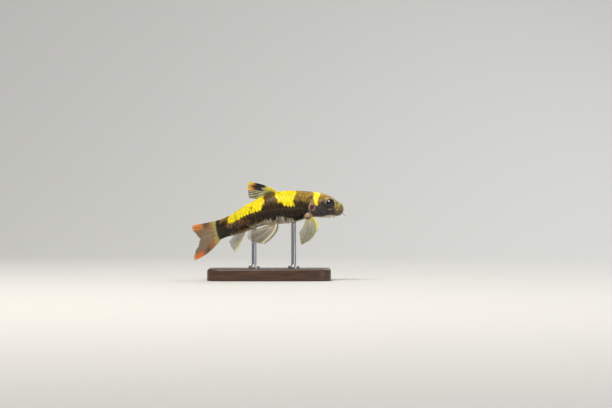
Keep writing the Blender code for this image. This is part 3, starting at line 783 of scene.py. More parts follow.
@dataclass
class Markings:
    """Where each colour lies on head and body, from the distance along the fish and the angle round it."""

    form: BodyForm
    relief: HeadRelief
    # how coarse the three grains of the mottling are, and the grain of the dark blots
    grains: Triple = (2.6, 0.85, 0.36)
    blot_grain: float = 1.25
    streak_spacing: float = 1.35
    lemon: str = "#FDE91C"
    gill_spot: Pair = (13.4, 0.05)

    def bands(self, at: Array, level: Array) -> Array:
        """How yellow each place is: a collar behind the head and two wide patches over the back.

        Args:
            at: Distances from the snout.
            level: Cosines of the angles from the back.

        Returns:
            A share from 0 to 1 for each place.
        """
        collar_front = mix(11.0, 9.9, smooth(level, 0.25, 0.95))
        collar = smooth(at, collar_front - 0.4, collar_front + 0.4) * smooth(level, 0.10, 0.28)
        collar = collar * smooth(at - 0.9 * (level - 0.62), 12.9, 12.2)
        slant = 1.6 * (0.9 - level)
        front_floor = mix(0.12, 0.34, smooth(at, 22.0, 27.0))
        front = smooth(at, 19.5 + slant, 20.3 + slant) * smooth(at, 28.1 - 0.3 * slant, 27.3 - 0.3 * slant)
        front = front * smooth(level, front_floor - 0.08, front_floor + 0.12)
        rear_floor = 0.02 + 0.10 * mound(at - 41.5, 4.0) + 0.14 * smooth(at, 37.0, 33.5)
        rear = smooth(at, 32.8 - level, 33.8 - level) * smooth(at, 50.6, 49.2)
        rear = rear * smooth(level, rear_floor - 0.06, rear_floor + 0.14)
        return np.maximum(np.maximum(collar, front), rear)

    def paint(self, at: Array, angle: Array, points: Array, jag: Array = 0.0) -> Array:
        """The skin's colour at each place.

        Args:
            at: Distances from the snout.
            angle: Angles from the back.
            points: The places themselves, which the mottling follows.
            jag: A random share from -1 to 1 that makes the borders ragged from scale to scale.

        Returns:
            A linear colour for each place.
        """
        broad, fine, dust = (lattice_noise(points, grain, 11 + k) for k, grain in enumerate(self.grains))
        blot = lattice_noise(points, self.blot_grain, 14)
        near = at + 0.35 * broad + 0.25 * fine + 0.34 * jag
        level = np.cos(angle) + 0.05 * fine + 0.06 * broad + 0.07 * jag
        flank = smooth(level, 0.56, 0.22)
        rear = flank * smooth(near, 32.0, 39.0) * smooth(near, 53.5, 50.5)
        belly_top = (-0.93, -0.88, -0.56, -0.61, -0.78, -0.90)
        belly_top = np.interp(at, (14.0, 20.0, 25.0, 30.0, 37.0, 44.0), belly_top)
        belly = smooth(level, belly_top + 0.14, belly_top - 0.12)
        streak = 0.5 + 0.5 * np.cos(TURN * (near / self.streak_spacing + 0.35 * broad))
        belly_streak = mix(1.0, 0.12 + 0.88 * streak, smooth(level, -0.97, -0.80))
        yellow = self.bands(near, level)
        frayed = smooth(near, 43.0, 49.0) * smooth(level, 0.85, 0.45)
        saddle = smooth(near, 26.5, 28.5) * smooth(near, 36.5, 33.5)
        nape = smooth(near, 21.0, 19.0) * smooth(level + 0.15 * fine, 0.50, 0.80)
        # the black bar before the tail fin leaves the top of the tail's stem olive at its front
        bar = np.maximum(smooth(level + 0.1 * blot, 0.80, 0.45), smooth(near, 55.2, 56.6))
        bar = bar * smooth(near, 51.0, 52.6) * smooth(at + 0.3 * fine, 58.5, 57.5)
        body = laid(
            np.broadcast_to(linear("#866A26"), points.shape),
            # olive-gold back, browner under the dorsal fin
            ("#B3923A", 0.6 * smooth(fine + 0.5 * dust, -0.1, 0.7)),
            ("#B8943A", 0.72 * nape),
            ("#57401D", 0.8 * saddle),
            ("#A07A2A", 0.6 * mound(near - 27.9, 0.9) * smooth(level + 0.2 * fine, 0.55, 0.9)),
            ("#2A1E11", 0.7 * smooth(dust - 0.4 * fine, 0.15, 0.6)),
            # black-brown flank, mottled with brown and gold at the rear
            ("#150F0C", 0.98 * flank),
            ("#6A5426", 0.42 * flank * streak * smooth(level, 0.02, 0.36)),
            ("#5F4423", 0.88 * rear * smooth(blot + 0.6 * fine, -0.45, 0.35)),
            ("#96733C", 0.50 * rear * streak * smooth(blot + 0.6 * fine, -0.2, 0.5)),
            ("#33221C", 0.4 * flank * smooth(fine, 0.1, 0.7)),
            # cream belly, broken into upright streaks along its top
            ("#E0D5B8", 0.94 * belly * belly_streak),
            ("#A08A5A", 0.75 * smooth(level + 0.1 * fine, -0.76, -0.92) * smooth(near, 38.0, 43.0)),
            ("#8A6C30", 0.9 * smooth(near, 49.4, 50.8) * smooth(level, 0.35, 0.70)),
            ("#120D0B", 0.96 * bar),
            # lemon patches with an amber edge, flecked and frayed towards the tail
            ("#BE8C12", smooth(yellow, 0.05, 0.45)),
            (self.lemon, smooth(yellow, 0.35, 0.8)),
            ("#E6B814", 0.45 * smooth(yellow, 0.8, 1.0) * smooth(dust + 0.4 * fine, 0.3, 0.85)),
            ("#5A4014", 0.85 * smooth(yellow, 0.1, 0.5) * frayed * smooth(blot, 0.05, 0.4)),
            ("#3A2A12", 0.8 * smooth(yellow, 0.3, 0.7) * smooth(dust - 0.7 * fine, 0.72, 0.95)),
            ("#AFAE5C", 0.9 * smooth(at, 57.9, 58.7)),
        )
        return self.paint_head(body, at, angle, (broad, fine, dust))

    def paint_head(self, body: Array, at: Array, angle: Array, grain: tuple[Array, ...]) -> Array:
        """The colours of the head and the fin bases laid over those of the body.

        Args:
            body: The colours of the body.
            at: Distances from the snout.
            angle: Angles from the back.
            grain: Broad, fine and very fine noise.

        Returns:
            A linear colour for each place.
        """
        broad, fine, dust = grain

        def patch(spot_at: float, level: float, width: float, tall: float = 1.0) -> Array:
            """A soft round patch of a width, round the place at that distance and level."""
            return mound(away(spot_at, level, tall), width)

        def away(spot_at: float, level: float, tall: float = 1.0) -> Array:
            """How far each place lies from the one at that distance and level."""
            return Spot(spot_at, math.degrees(math.acos(level))).away(self.form, at, angle, tall)

        level = np.cos(angle) + 0.03 * fine + 0.03 * broad
        side = np.abs(np.sin(angle))
        edge = self.form.gill_edge(angle)
        top = np.interp(at, (2.0, 4.0, 7.0, 8.2, 9.2, 10.9, 15.0), (0.0, 0.12, 0.50, 0.58, 0.47, 0.24, 0.20))
        cheek = smooth(level, top + 0.10, top - 0.07) * smooth(at + 0.5 * fine, 2.6, 4.4)
        # where the pale throat begins, higher under the mouth than farther back
        low = np.interp(at, (3.0, 6.0, 10.0), (-0.80, -0.84, -0.90))
        yellow = self.bands(at + 0.3 * broad + 0.15 * fine, level)
        eye_rim = mound(self.relief.eye.away(self.form, at, angle) - 2.42, 0.20)
        # socket marks where the skin dives into the gap between lid and eyeball, which is painted black as
        # shade
        socket = smooth(self.relief.eye.away(self.form, at, angle), 2.05, 1.8)
        spot = away(*self.gill_spot, 0.8)
        # nostril marks the nostril pits, which are painted dark as shade
        nostril = np.minimum(*(place.away(self.form, at, angle) for place in self.relief.nostrils))
        mouth = self.relief.mouth_ring(at, angle)
        under = smooth(-np.cos(angle), 0.35, 0.65) * smooth(at, 5.6, 4.4)
        throat = smooth(level, low + 0.12, low) * smooth(at, 2.9, 3.6) * smooth(at, 11.6, 9.6)
        chin = smooth(level, -0.90, -0.98) * np.maximum(smooth(mouth, 2.75, 2.45), smooth(at, 4.4, 5.6))
        cover_rim = smooth(side, 0.8, 0.96)
        head = laid(
            np.broadcast_to(linear("#8E7330"), body.shape),
            # golden nape, olive snout with a green-yellow patch and a brown tip
            ("#C48E26", 0.85 * smooth(at, 5.0, 9.5) * smooth(level, 0.62, 0.88)),
            ("#E0A22C", 0.6 * smooth(at + 0.4 * fine, 7.6, 9.4) * smooth(level, 0.78, 0.92)),
            ("#5E4A22", 0.45 * smooth(broad + 0.6 * fine, 0.0, 0.8)),
            ("#2A2013", 0.5 * smooth(dust, 0.25, 0.7) * smooth(at, 1.0, 4.0)),
            ("#A8A034", 0.9 * patch(2.3, 0.62, 1.15)),
            ("#9A7040", 0.75 * smooth(at, 1.5, 0.3) * smooth(level, -0.35, 0.1)),
            ("#4A3A2C", 0.75 * smooth(level, 0.05, -0.3) * smooth(at, 3.6, 2.4)),
            # slate cheek, plum below, with pale and dark patches under the eye; the pale patch just below the
            # eye is a painted highlight
            ("#242127", 0.97 * cheek),
            ("#503B48", 0.75 * cheek * smooth(level, -0.35, -0.8) * smooth(at, 7.0, 11.0)),
            ("#6E5F4E", 0.35 * cheek * smooth(fine + dust, 0.2, 0.9)),
            # painted highlight: the pale patch just below the eye
            ("#8F7C5A", 0.65 * patch(5.8, -0.05, 0.62, 0.7)),
            ("#15110F", 0.8 * patch(4.9, -0.45, 0.9)),
            ("#8A7347", 0.65 * patch(2.8, -0.10, 0.75)),
            # cream chin and throat, brown lips, and the mouth's dark slit, which is painted shade in the deep
            # groove between the lips
            ("#C9BFA6", 0.95 * chin),
            ("#D8CDB2", 0.9 * throat),
            ("#5C4636", 0.7 * under * mound(mouth - 3.25, 0.40)),
            ("#1B1410", 0.92 * under * mound(mouth - 2.72, 0.16)),
            # light rim over and before the eye; the black socket and the dark nostrils are painted shade in
            # their hollows
            ("#CFC274", 0.85 * eye_rim * patch(7.3, 0.72, 1.4)),
            ("#D2C283", 0.80 * eye_rim * patch(3.6, 0.45, 1.2)),
            ("#0E0C0A", socket),
            ("#1A140D", 0.9 * smooth(nostril, 0.34, 0.18)),
            # lemon collar
            ("#B98A10", smooth(yellow, 0.05, 0.5)),
            (self.lemon, smooth(yellow, 0.4, 0.85)),
            # the gill cover's pale rim, and the red-brown spot in its pale ring
            ("#9C7E6E", 0.7 * mound(at - edge + 0.16, 0.26) * cover_rim),
            ("#BCA961", 0.6 * mound(at - edge + 0.12, 0.20) * cover_rim * smooth(level, -0.25, 0.0)),
            ("#B0917F", 0.75 * mound(spot - 1.15, 0.28) * smooth(fine, -0.9, 0.1)),
            ("#54231A", 0.95 * smooth(spot, 0.98, 0.62)),
        )
        # slit marks the recess behind the gill cover; its dark red-brown is partly the gills' own red and
        # partly painted shade
        slit = smooth(at, edge + 0.02, edge + 0.06) * smooth(at, edge + 0.9, edge + 0.2)
        pectoral = self.relief.pectoral_away(at, angle)
        return laid(
            mix(body, head, smooth(at, edge + 0.08, edge - 0.02)[..., None]),
            # the gills' red, darkened as painted shade in the recess behind the gill cover
            ("#4A2018", 0.6 * slit * smooth(side, 0.5, 0.9)),
            # flesh-coloured fin bases, yellowish above and red below
            ("#A39080", 0.92 * smooth(pectoral + 0.15 * fine, 2.2, 1.8)),
            ("#B5A064", 0.8 * smooth(pectoral + 0.2 * fine, 1.9, 1.0) * smooth(level, -0.72, -0.54)),
            ("#9E4E46", 0.9 * patch(15.3, -0.72, 1.15)),
            ("#7A3A30", 0.5 * patch(15.1, -0.68, 0.45)),
            ("#A98A66", 0.6 * smooth(self.relief.pelvic_away(at, angle), 1.6, 1.0)),
        )


# Finishes


def add_node(
    tree: NodeTree,
    kind: str,
    settings: Optional[dict[object, object]] = None,
    links: Optional[dict[object, Socket]] = None,
) -> bpy.types.Node:
    """Adds one node with its settings and links.

    Args:
        tree: The tree that it joins.
        kind: Blender's name for the kind of shader node, such as "Math".
        settings: Values by the name or number of an input or, where it has no such input, of a property.
        links: The output that feeds each input, by the input's name or number.

    Returns:
        The new node.
    """
    node = tree.nodes.new(f"ShaderNode{kind}")
    for word, value in (settings or {}).items():
        if isinstance(word, str) and word not in node.inputs:
            setattr(node, word, value)
        else:
            node.inputs[word].default_value = value
    for word, output in (links or {}).items():
        tree.links.new(output, node.inputs[word])
    return node


# noise lies mostly between these values, which are stretched to the whole of what it drives
GRAIN_SPAN = {"From Min": 0.3, "From Max": 0.7}
# values of the shader's own sockets, by their names
Sockets = tuple[tuple[str, object], ...]


def coated(weight: float, rough: float, ior: float = 1.5) -> Sockets:
    """Sockets of a clear film, from how much it covers, how rough it is, and how it bends light."""
    return ("Coat Weight", weight), ("Coat Roughness", rough), ("Coat IOR", ior)


def soft(ior: float, weight: float, spread: Triple, depth: float) -> Sockets:
    """Sockets of a soft stuff: how it bends light, how much goes in, and how far each colour and all go."""
    light = (("Subsurface Weight", weight), ("Subsurface Radius", spread), ("Subsurface Scale", depth * MM))
    return ("IOR", ior), *light


@dataclass(frozen=True)
class Finish:
    """A painted finish on one Principled shader, whose shade, roughness and relief follow a fine grain."""

    name: str = "painted"
    # how wide the grain's features are drawn: pigment, creases, wood grain or brush marks
    grain: float = 0.25
    detail: float = 3.0
    stretch: Triple = (1.0, 1.0, 1.0)
    shade: Pair = (0.8, 1.2)
    rough: Pair = (0.3, 0.4)
    depth: float = 0.0
    sockets: Sockets = ()

    def pattern(self, tree: NodeTree, grain: float, detail: float, stretch: Sequence[float]) -> Socket:
        """Noise in the object's own space.

        Args:
            tree: The material's nodes.
            grain: The width of one feature.
            detail: How many finer layers it has.
            stretch: A share for each axis, below 1 where the features are drawn out along it.

        Returns:
            The noise, from 0 to 1.
        """
        spot = add_node(tree, "TexCoord").outputs["Object"]
        spot = add_node(tree, "Mapping", {"Scale": stretch}, {"Vector": spot}).outputs[0]
        settings = {"Scale": 1.0 / (grain * MM), "Detail": detail, "Roughness": 0.6}
        return add_node(tree, "TexNoise", settings, {"Vector": spot}).outputs["Fac"]

    def mark(self, tree: NodeTree, word: str, output: str) -> Socket:
        """An output of what is painted or marked on the piece's points under a word."""
        return add_node(tree, "Attribute", {"attribute_name": word}).outputs[output]

    def stretched(self, tree: NodeTree, grain: Socket, ends: Pair) -> Socket:
        """The grain, stretched to run from one value to another."""
        span = GRAIN_SPAN | {"To Min": ends[0], "To Max": ends[1]}
        return add_node(tree, "MapRange", span, {"Value": grain}).outputs[0]

    def colour(self, tree: NodeTree, grain: Socket) -> Socket:
        """The piece's own painted colours, dimmed and brightened by the grain."""
        links = {0: self.mark(tree, "tint", "Color"), "Scale": self.stretched(tree, grain, self.shade)}
        return add_node(tree, "VectorMath", {"operation": "SCALE"}, links).outputs[0]

    def height(self, tree: NodeTree, grain: Socket) -> Socket:
        """What raises the surface by the depth: the grain itself."""
        return grain

    def relief(self, tree: NodeTree, height: Socket) -> dict[str, Socket]:
        """The shader's normal, where the height raises the surface by the depth."""
        settings = {"Strength": 1.0, "Distance": self.depth * MM}
        return {"Normal": add_node(tree, "Bump", settings, {"Height": height}).outputs["Normal"]}

    def outputs(self, tree: NodeTree) -> dict[str, Socket]:
        """Makes what feeds the shader.

        Args:
            tree: The material's nodes.

        Returns:
            An output for each of the shader's fed inputs, by the input's name.
        """
        grain = self.pattern(tree, self.grain, self.detail, self.stretch)
        rough = self.stretched(tree, grain, self.rough)
        made = {"Base Color": self.colour(tree, grain), "Roughness": rough}
        return made | self.relief(tree, self.height(tree, grain)) if self.depth else made

    def material(self) -> Material:
        """Makes the material.

        Returns:
            The new material.
        """
        made = bpy.data.materials.new(self.name)
        made.use_nodes = True
        shader = made.node_tree.nodes["Principled BSDF"]
        for word, value in self.sockets:
            shader.inputs[word].default_value = value
        for word, output in self.outputs(made.node_tree).items():
            made.node_tree.links.new(output, shader.inputs[word])
        return made


@dataclass(frozen=True)
class WetSkin(Finish):
    """Living fish skin under a film of slime: soft below, and a clear wet gloss that gives sharp lights."""

    name: str = "wet_fish_skin"
    # pigment cells of about a tenth of a millimetre, drawn twice as coarse so that they show
    grain: float = 0.22
    shade: Pair = (0.72, 1.25)
    rough: Pair = (0.36, 0.52)
    depth: float = 0.03
    pebble: float = 0.30
    sockets: Sockets = soft(1.4, 0.12, (1.0, 0.5, 0.3), 0.6) + coated(0.35, 0.12, 1.34)

    def height(self, tree: NodeTree, grain: Socket) -> Socket:
        """The skin's fine pebbling."""
        return self.pattern(tree, self.pebble, 2.0, self.stretch)


@dataclass(frozen=True)
class Waved(Finish):
    """A painted finish whose relief is fine waves along a distance marked on the piece's points."""

    word: str = "reach"
    wave: str = "COSINE"
    spacing: float = 1.0

    def height(self, tree: NodeTree, grain: Socket) -> Socket:
        """The waves.

        Args:
            tree: The material's nodes.
            grain: The grain, which the waves don't follow.

        Returns:
            The waves, from -1 to 1.
        """
        turn, marked = TURN / self.spacing, self.mark(tree, self.word, "Fac")
        turned = add_node(tree, "Math", {"operation": "MULTIPLY", 1: turn}, {0: marked}).outputs[0]
        return add_node(tree, "Math", {"operation": self.wave}, {0: turned}).outputs[0]


@dataclass(frozen=True)
class ScaleHorn(Waved):
    """Thin bony scales under wet skin: growth rings catch the light, and the clear film shines over them."""

    name: str = "wet_fish_scale"
    grain: float = 0.18
    shade: Pair = (0.75, 1.22)
    rough: Pair = (0.30, 0.48)
    depth: float = 0.004
    word: str = "ring"
    wave: str = "SINE"
    # growth rings are about 0.05 mm apart, drawn more than twice as coarse so that they show
    spacing: float = TURN / 52.0
    sockets: Sockets = (
        ("Specular IOR Level", 0.22),
        *soft(1.38, 0.08, (1.0, 0.6, 0.35), 0.4),
        *coated(0.22, 0.08, 1.34),
    )


@dataclass(frozen=True)
class FinWeb(Finish):
    """The fins' web: two layers of clear skin, so that what is behind them shows through."""

    name: str = "clear_fin_web"
    shade: Pair = (0.8, 1.15)
    rough: Pair = (0.28, 0.42)
    depth: float = 0.01
    sockets: Sockets = (("IOR", 1.38), *coated(0.3, 0.15))

    def outputs(self, tree: NodeTree) -> dict[str, Socket]:
        """As any finish, with the painted solidity as well."""
        return super().outputs(tree) | {"Alpha": self.mark(tree, "tint", "Alpha")}


@dataclass(frozen=True)
class JointedRay(Waved):
    """Bony fin rays in skin: paler and more solid than the web, with fine joints across them."""

    name: str = "jointed_fin_ray"
    grain: float = 0.3
    shade: Pair = (0.85, 1.15)
    rough: Pair = (0.30, 0.45)
    depth: float = 0.02
    # joints are about 0.25 mm apart, drawn twice as coarse so that they show
    spacing: float = 0.5
    sockets: Sockets = soft(1.45, 0.2, (1.0, 0.7, 0.4), 0.3) + coated(0.4, 0.12)


@dataclass(frozen=True)
class Eyeball(Finish):
    """A fish's eye: a flat iris under a clear wet cornea, which gives one hard bright light."""

    name: str = "wet_eyeball"
    grain: float = 0.12
    rough: Pair = (0.18, 0.3)
    sockets: Sockets = (("IOR", 1.38), *coated(1.0, 0.02, 1.38))


@dataclass(frozen=True)
class TwoTone(Finish):
    """A finish that isn't painted point by point: its grain runs from a dark colour to a light one."""

    dark: tuple[float, str] = (0.0, "#000000")
    light: tuple[float, str] = (1.0, "#FFFFFF")

    def colour(self, tree: NodeTree, grain: Socket) -> Socket:
        """The two colours, mixed by the grain.

        Args:
            tree: The material's nodes.
            grain: The grain.

        Returns:
            The colour.
        """
        ramp = add_node(tree, "ValToRGB", links={"Fac": grain})
        for element, (place, code) in zip(ramp.color_ramp.elements, (self.dark, self.light)):
            element.position = place
            element.color = (*linear(code), 1.0)
        return ramp.outputs["Color"]


@dataclass(frozen=True)
class StainedWalnut(TwoTone):
    """Dark stained walnut under satin varnish: fine straight grain and a soft sheen."""

    name: str = "stained_walnut"
    grain: float = 1.3
    detail: float = 6.0
    stretch: Triple = (0.12, 1.0, 1.0)
    dark: tuple[float, str] = (0.3, "#2A1A10")
    light: tuple[float, str] = (0.7, "#5A3A24")
    rough: Pair = (0.38, 0.5)
    depth: float = 0.03
    # pores are typically up to about 0.2 mm wide, and are drawn coarser so that they show
    pore: float = 0.35
    pore_stretch: Triple = (0.08, 1.0, 1.0)
    sockets: Sockets = (("IOR", 1.5), *coated(0.25, 0.3))

    def height(self, tree: NodeTree, grain: Socket) -> Socket:
        """The wood's open pores, drawn out along the grain."""
        return self.pattern(tree, self.pore, 2.0, self.pore_stretch)


@dataclass(frozen=True)
class BrushedSteel(TwoTone):
    """Stainless steel rod turned and brushed: fine rings round it spread the light."""

    name: str = "brushed_stainless_steel"
    # brush marks are typically about 0.05 mm apart, and are drawn coarser so that they show
    grain: float = 0.2
    detail: float = 2.0
    stretch: Triple = (0.1, 0.1, 1.0)
    dark: tuple[float, str] = (0.0, "#9FA1A4")
    light: tuple[float, str] = (1.0, "#C9CACC")
    rough: Pair = (0.24, 0.38)
    depth: float = 0.004
    sockets: Sockets = (("Metallic", 1.0),)


@dataclass(frozen=True)
class BackdropPaper(Finish):
    """Matt seamless paper: one even pale grey with hardly any tooth."""

    name: str = "seamless_paper"
    # a paper's tooth is typically a few tenths of a millimetre, and is drawn coarser so that it shows
    grain: float = 0.8
    depth: float = 0.01
    sockets: Sockets = (("Base Color", (*linear("#D9DAD8"), 1.0)), ("Roughness", 0.9))

    def outputs(self, tree: NodeTree) -> dict[str, Socket]:
        """The paper's tooth and nothing else."""
        return self.relief(tree, self.pattern(tree, self.grain, self.detail, self.stretch))


# The fish's pieces


@dataclass
class Skin:
    """One skin over head, trunk and tail, with the gill slits, mouth, nostrils and eye sockets in it."""

    form: BodyForm
    relief: HeadRelief
    markings: Markings
    head_rings: int = 190
    body_rings: int = 190
    around: int = 256
    coat_depth: float = 0.16
    fold_length: float = 0.6
    fold_depth: float = 0.32
    end: float = 60.0
    # the fold behind the gill cover: how far past its edge each ring lies, and how deep
    fold: Series = (-0.10, -0.22, 0.05, 0.3, 0.6)
    fold_lifts: Series = (0.02, -0.28, -0.42, -0.40, -0.3)
    # the grains and heights of the skin's soft unevenness, with their noise seeds
    pebbles: tuple[tuple[float, float, int], ...] = ((0.42, 0.020, 3), (1.4, 0.035, 4))

    def places(self) -> tuple[Array, Array, Array]:
        """Lays the skin out ring by ring, from the snout over the gill covers to the tail.

        Returns:
            Distance from the snout, angle and lift of every point.
        """
        angle = np.linspace(-math.pi, math.pi, self.around + 1)[None, :]
        edge = self.form.gill_edge(angle)
        share = np.linspace(0.002, 1.0, self.head_rings)[:, None]
        spread = mix(1.0 - np.cos(share * math.pi / 2.0), share, 0.55)
        head_at = edge * spread
        head_lift = self.relief.lift(head_at, angle + head_at * 0.0) + self.relief.cover_lift(head_at, angle)
        open_gill = smooth(np.abs(np.sin(angle)), 0.1, 0.6)
        fold_at = np.array(self.fold)[:, None] + edge
        fold_lift = np.array(self.fold_lifts)[:, None] * open_gill - 0.02
        closed_at = np.linspace(0.02, self.fold_length, len(self.fold))[:, None] + edge
        fold_at = mix(closed_at, fold_at, open_gill)
        share = np.linspace(0.0, 1.0, self.body_rings)[1:, None]
        body_at = mix(edge + self.fold_length, self.end, share)
        behind = smooth(body_at - edge, 2.0, self.fold_length)
        body_lift = self.relief.base_lift(body_at, angle + body_at * 0.0)
        body_lift = body_lift - self.coat_depth * (1.0 - behind) - self.fold_depth * behind * open_gill
        at = np.concatenate([head_at, fold_at, body_at])
        lift = np.concatenate([head_lift, fold_lift, body_lift])
        return at, np.broadcast_to(angle, at.shape), lift

    def build(self, eyes: Sequence["Eye"], material: Material) -> str:
        """Makes the skin in place of the solids of the flesh.

        Args:
            eyes: The eyes that it is fitted to.
            material: Its material.

        Returns:
            The piece's name.
        """
        at, angle, lift = self.places()
        rows, columns = at.shape
        rough = self.form.surface(at, angle, lift)
        uneven = sum(lattice_noise(rough, grain, seed) * height for grain, height, seed in self.pebbles)
        points = self.form.surface(at, angle, lift + uneven)
        for eye in eyes:
            points = eye.lidded(points)
        tint = self.markings.paint(at, angle, points)
        uv = np.stack([(angle + math.pi) / TURN, at / (self.end + 1.0)], axis=-1)
        split = grid_quads(rows, columns, flipped=True)
        around = columns - 1
        welded = split // columns * around + split % columns % around
        caps = end_caps(rows, around, flipped=True)
        corners = [uv.reshape(-1, 2)[split.ravel()], uv[:, :-1].reshape(-1, 2)[caps.ravel()]]
        shell = Shell(
            points[:, :-1].reshape(-1, 3),
            np.concatenate([welded, caps]),
            tint[:, :-1].reshape(-1, 3),
            np.concatenate(corners),
        )
        return shell.piece("fish_skin", [material], Slot.BODY, "head", "torso", "tail")


@dataclass
class Scales:
    """Overlapping scales in staggered rows from the gill covers to the tail's root."""

    form: BodyForm
    relief: HeadRelief
    markings: Markings
    rows_around: int = 22
    spacing: float = 1.35
    overlap: float = 2.05
    width: float = 0.97
    end: float = 59.2
    root_lift: float = -0.17
    tip_lift: float = 0.045
    crown: float = 0.02
    thick: float = 0.045
    rows: int = 9
    columns: int = 11
    # how much scales differ in size, lean, lift and brightness
    uneven: tuple[float, float, float, float] = (0.04, 0.04, 0.008, 0.12)
    # how near the middle of each fin base a scale may come, and where the chest is bare
    clear_of: Pair = (1.9, 1.3)
    bare_chest: Spot = Spot(20.0, 140.0)
    # half the size of a scale's patch on the UV map, and the length of fish that the map spans
    patch: float = 0.0015
    map_length: float = 61.0
    # names and where along the fish each joined piece ends
    parts: tuple[tuple[str, float], ...] = (("front", 27.0), ("middle", 42.0), ("rear", 99.0))

    def grows(self, at: float, angle: float) -> bool:
        """Whether a scale grows from a place.

        Args:
            at: The root's distance from the snout.
            angle: Its angle from the back.

        Returns:
            True if it lies clear of the fin bases and the bare chest.
        """
        plate = np.linspace(0.2, 0.9, 4) * self.spacing * self.overlap + at
        return bool(
            (at >= self.bare_chest.at or abs(angle) <= self.bare_chest.angle)
            and self.relief.pectoral_away(plate, angle).min() > self.clear_of[0]
            and self.relief.pelvic_away(plate, angle).min() > self.clear_of[1]
        )

    def roots(self) -> Array:
        """Finds where the scales grow, row by row.

        Returns:
            Distance from the snout and angle of each scale's root.
        """
        places = []
        for row in range(self.rows_around):
            angle = math.remainder((row + 0.5) * TURN / self.rows_around, TURN)
            at = self.end - self.spacing * (2.0 + 0.5 * (row % 2))
            while at > float(self.form.gill_edge(angle)) - 0.2:
                if self.grows(at, angle):
                    places.append((at, angle))
                at -= self.spacing
        return np.array(places)

    def shell(self, roots: Array, draw: np.random.Generator) -> Shell:
        """The scales with the roots given, as one shell of closed plates.

        Args:
            roots: Distance from the snout and angle of each root.
            draw: Where the small differences between scales come from.

        Returns:
            The joined plates, with their colours.
        """
        count, per = len(roots), self.rows * self.columns
        # a runs from a scale's root to its tip, and b from one side to the other
        a = np.linspace(0.0, 1.0, self.rows)[:, None] + np.zeros(self.columns)
        b = np.linspace(-1.0, 1.0, self.columns) + a * 0.0
        own = draw.uniform(-1.0, 1.0, (5, count, 1, 1))
        home_at, home_angle = roots[:, 0, None, None], roots[:, 1, None, None]
        size_spread, lean_spread, lift_spread, _ = self.uneven
        size = 1.0 + size_spread * own[0]
        row_angle = TURN / self.rows_around
        reach = a * (1.0 - 0.40 * np.abs(b) ** 2.3)
        at = home_at + reach * self.spacing * self.overlap * size
        shoulder = mix(0.80, 1.0, np.sin(np.clip(a * 1.5, 0.0, 1.0) * math.pi / 2.0))
        angle = home_angle + (b * self.width * shoulder * size + lean_spread * own[1] * a) * row_angle
        # a pored tube runs down the middle of each scale on the side line
        line = np.abs(np.abs(home_angle) - math.pi / 2.0) < row_angle * 0.4
        pored = line * mound(b, 0.16) * smooth(a, 0.42, 0.56) * smooth(a, 1.0, 0.88)
        rise = mix(self.root_lift, self.tip_lift, reach) + self.crown * (1.0 - b**2) + 0.03 * pored
        rise = rise + lift_spread * own[2]
        # the first scales are tucked in under the gill cover
        tucked = smooth(at - self.form.gill_edge(angle), 1.8, 0.2) * smooth(at, 20.0, 17.0)
        rise = rise - 0.45 * tucked * smooth(np.abs(np.sin(angle)), 0.1, 0.6)
        top = self.form.surface(at, angle, rise)
        under = self.form.surface(at, angle, rise - self.thick * mix(1.0, 0.5, a))
        # each scale mostly takes the colour of one place near its middle
        seat_at = mix(home_at + self.spacing * 1.4, at, 0.72)
        seat_angle = mix(home_angle, angle, 0.72)
        seat = self.form.surface(seat_at, seat_angle)
        tint = self.markings.paint(seat_at, seat_angle, seat, own[3] + np.zeros_like(at))
        tint = self.shaded(tint, a + 0.0 * at, np.abs(b) + 0.0 * at, own[4])
        tint = laid(tint, ("#8A7850", 0.22 * pored)).reshape(count, per, 3)
        ring = np.hypot(at - home_at - self.spacing * 0.8, (angle - home_angle) * self.form.half_width(at))
        points = np.concatenate([top.reshape(count, per, 3), under.reshape(count, per, 3)], axis=1)
        plate = sheet_quads(self.rows, self.columns, flipped=True)
        quads = (plate[None] + (np.arange(count) * per * 2)[:, None, None]).reshape(-1, 4)
        spread = np.stack([b * self.patch, a * self.patch], axis=-1).reshape(1, per, 2)
        home = np.stack([(roots[:, 1] + math.pi) / TURN, roots[:, 0] / self.map_length], axis=-1)[:, None]
        uv = np.tile(np.clip(home + spread, 0.0, 1.0), (1, 2, 1)).reshape(-1, 2)
        return Shell(
            points.reshape(-1, 3),
            quads,
            # the undersides take the tops' colours at 0.7 times the brightness: painted shade
            np.concatenate([tint, tint * 0.7], axis=1).reshape(-1, 3),
            uv[quads.reshape(-1)],
            {"ring": np.tile(ring.reshape(count, per), (1, 2)).reshape(-1)},
        )

    def shaded(self, tint: Array, a: Array, across: Array, own: Array) -> Array:
        """Shades each scale: dark towards its root, with a rim that is paler on dark scales.

        Args:
            tint: The scales' colours.
            a: How far along its scale each point lies.
            across: How far to the side of its scale's middle it lies.
            own: A random share from -1 to 1 for each scale, which makes it brighter or darker.

        Returns:
            The new colours.
        """
        dark = smooth(tint.max(axis=-1), 0.22, 0.05)
        tint = tint * (1.0 + self.uneven[3] * own[..., None])
        tint = tint * (1.0 - mix(0.10, 0.62, dark) * smooth(a, 0.80, 0.52))[..., None]
        rim = smooth(np.maximum(a, across**3 * 0.92), 0.80, 0.97)
        tint = tint * (1.0 - 0.16 * rim * (1.0 - dark))[..., None]
        return laid(tint, ("#5E4C33", 0.38 * rim * dark))

    def build(self, material: Material) -> Iterator[str]:
        """Makes the scales in three joined pieces, from the shoulder to the tail.

        Args:
            material: Their material.

        Yields:
            The name of each piece.
        """
        draw = np.random.default_rng(SEED + 1)
        roots = self.roots()
        low = 0.0
        for name, high in self.parts:
            chosen = roots[(roots[:, 0] >= low) & (roots[:, 0] < high)]
            yield self.shell(chosen, draw).piece(f"scales_{name}", [material], Slot.BODY)
            low = high


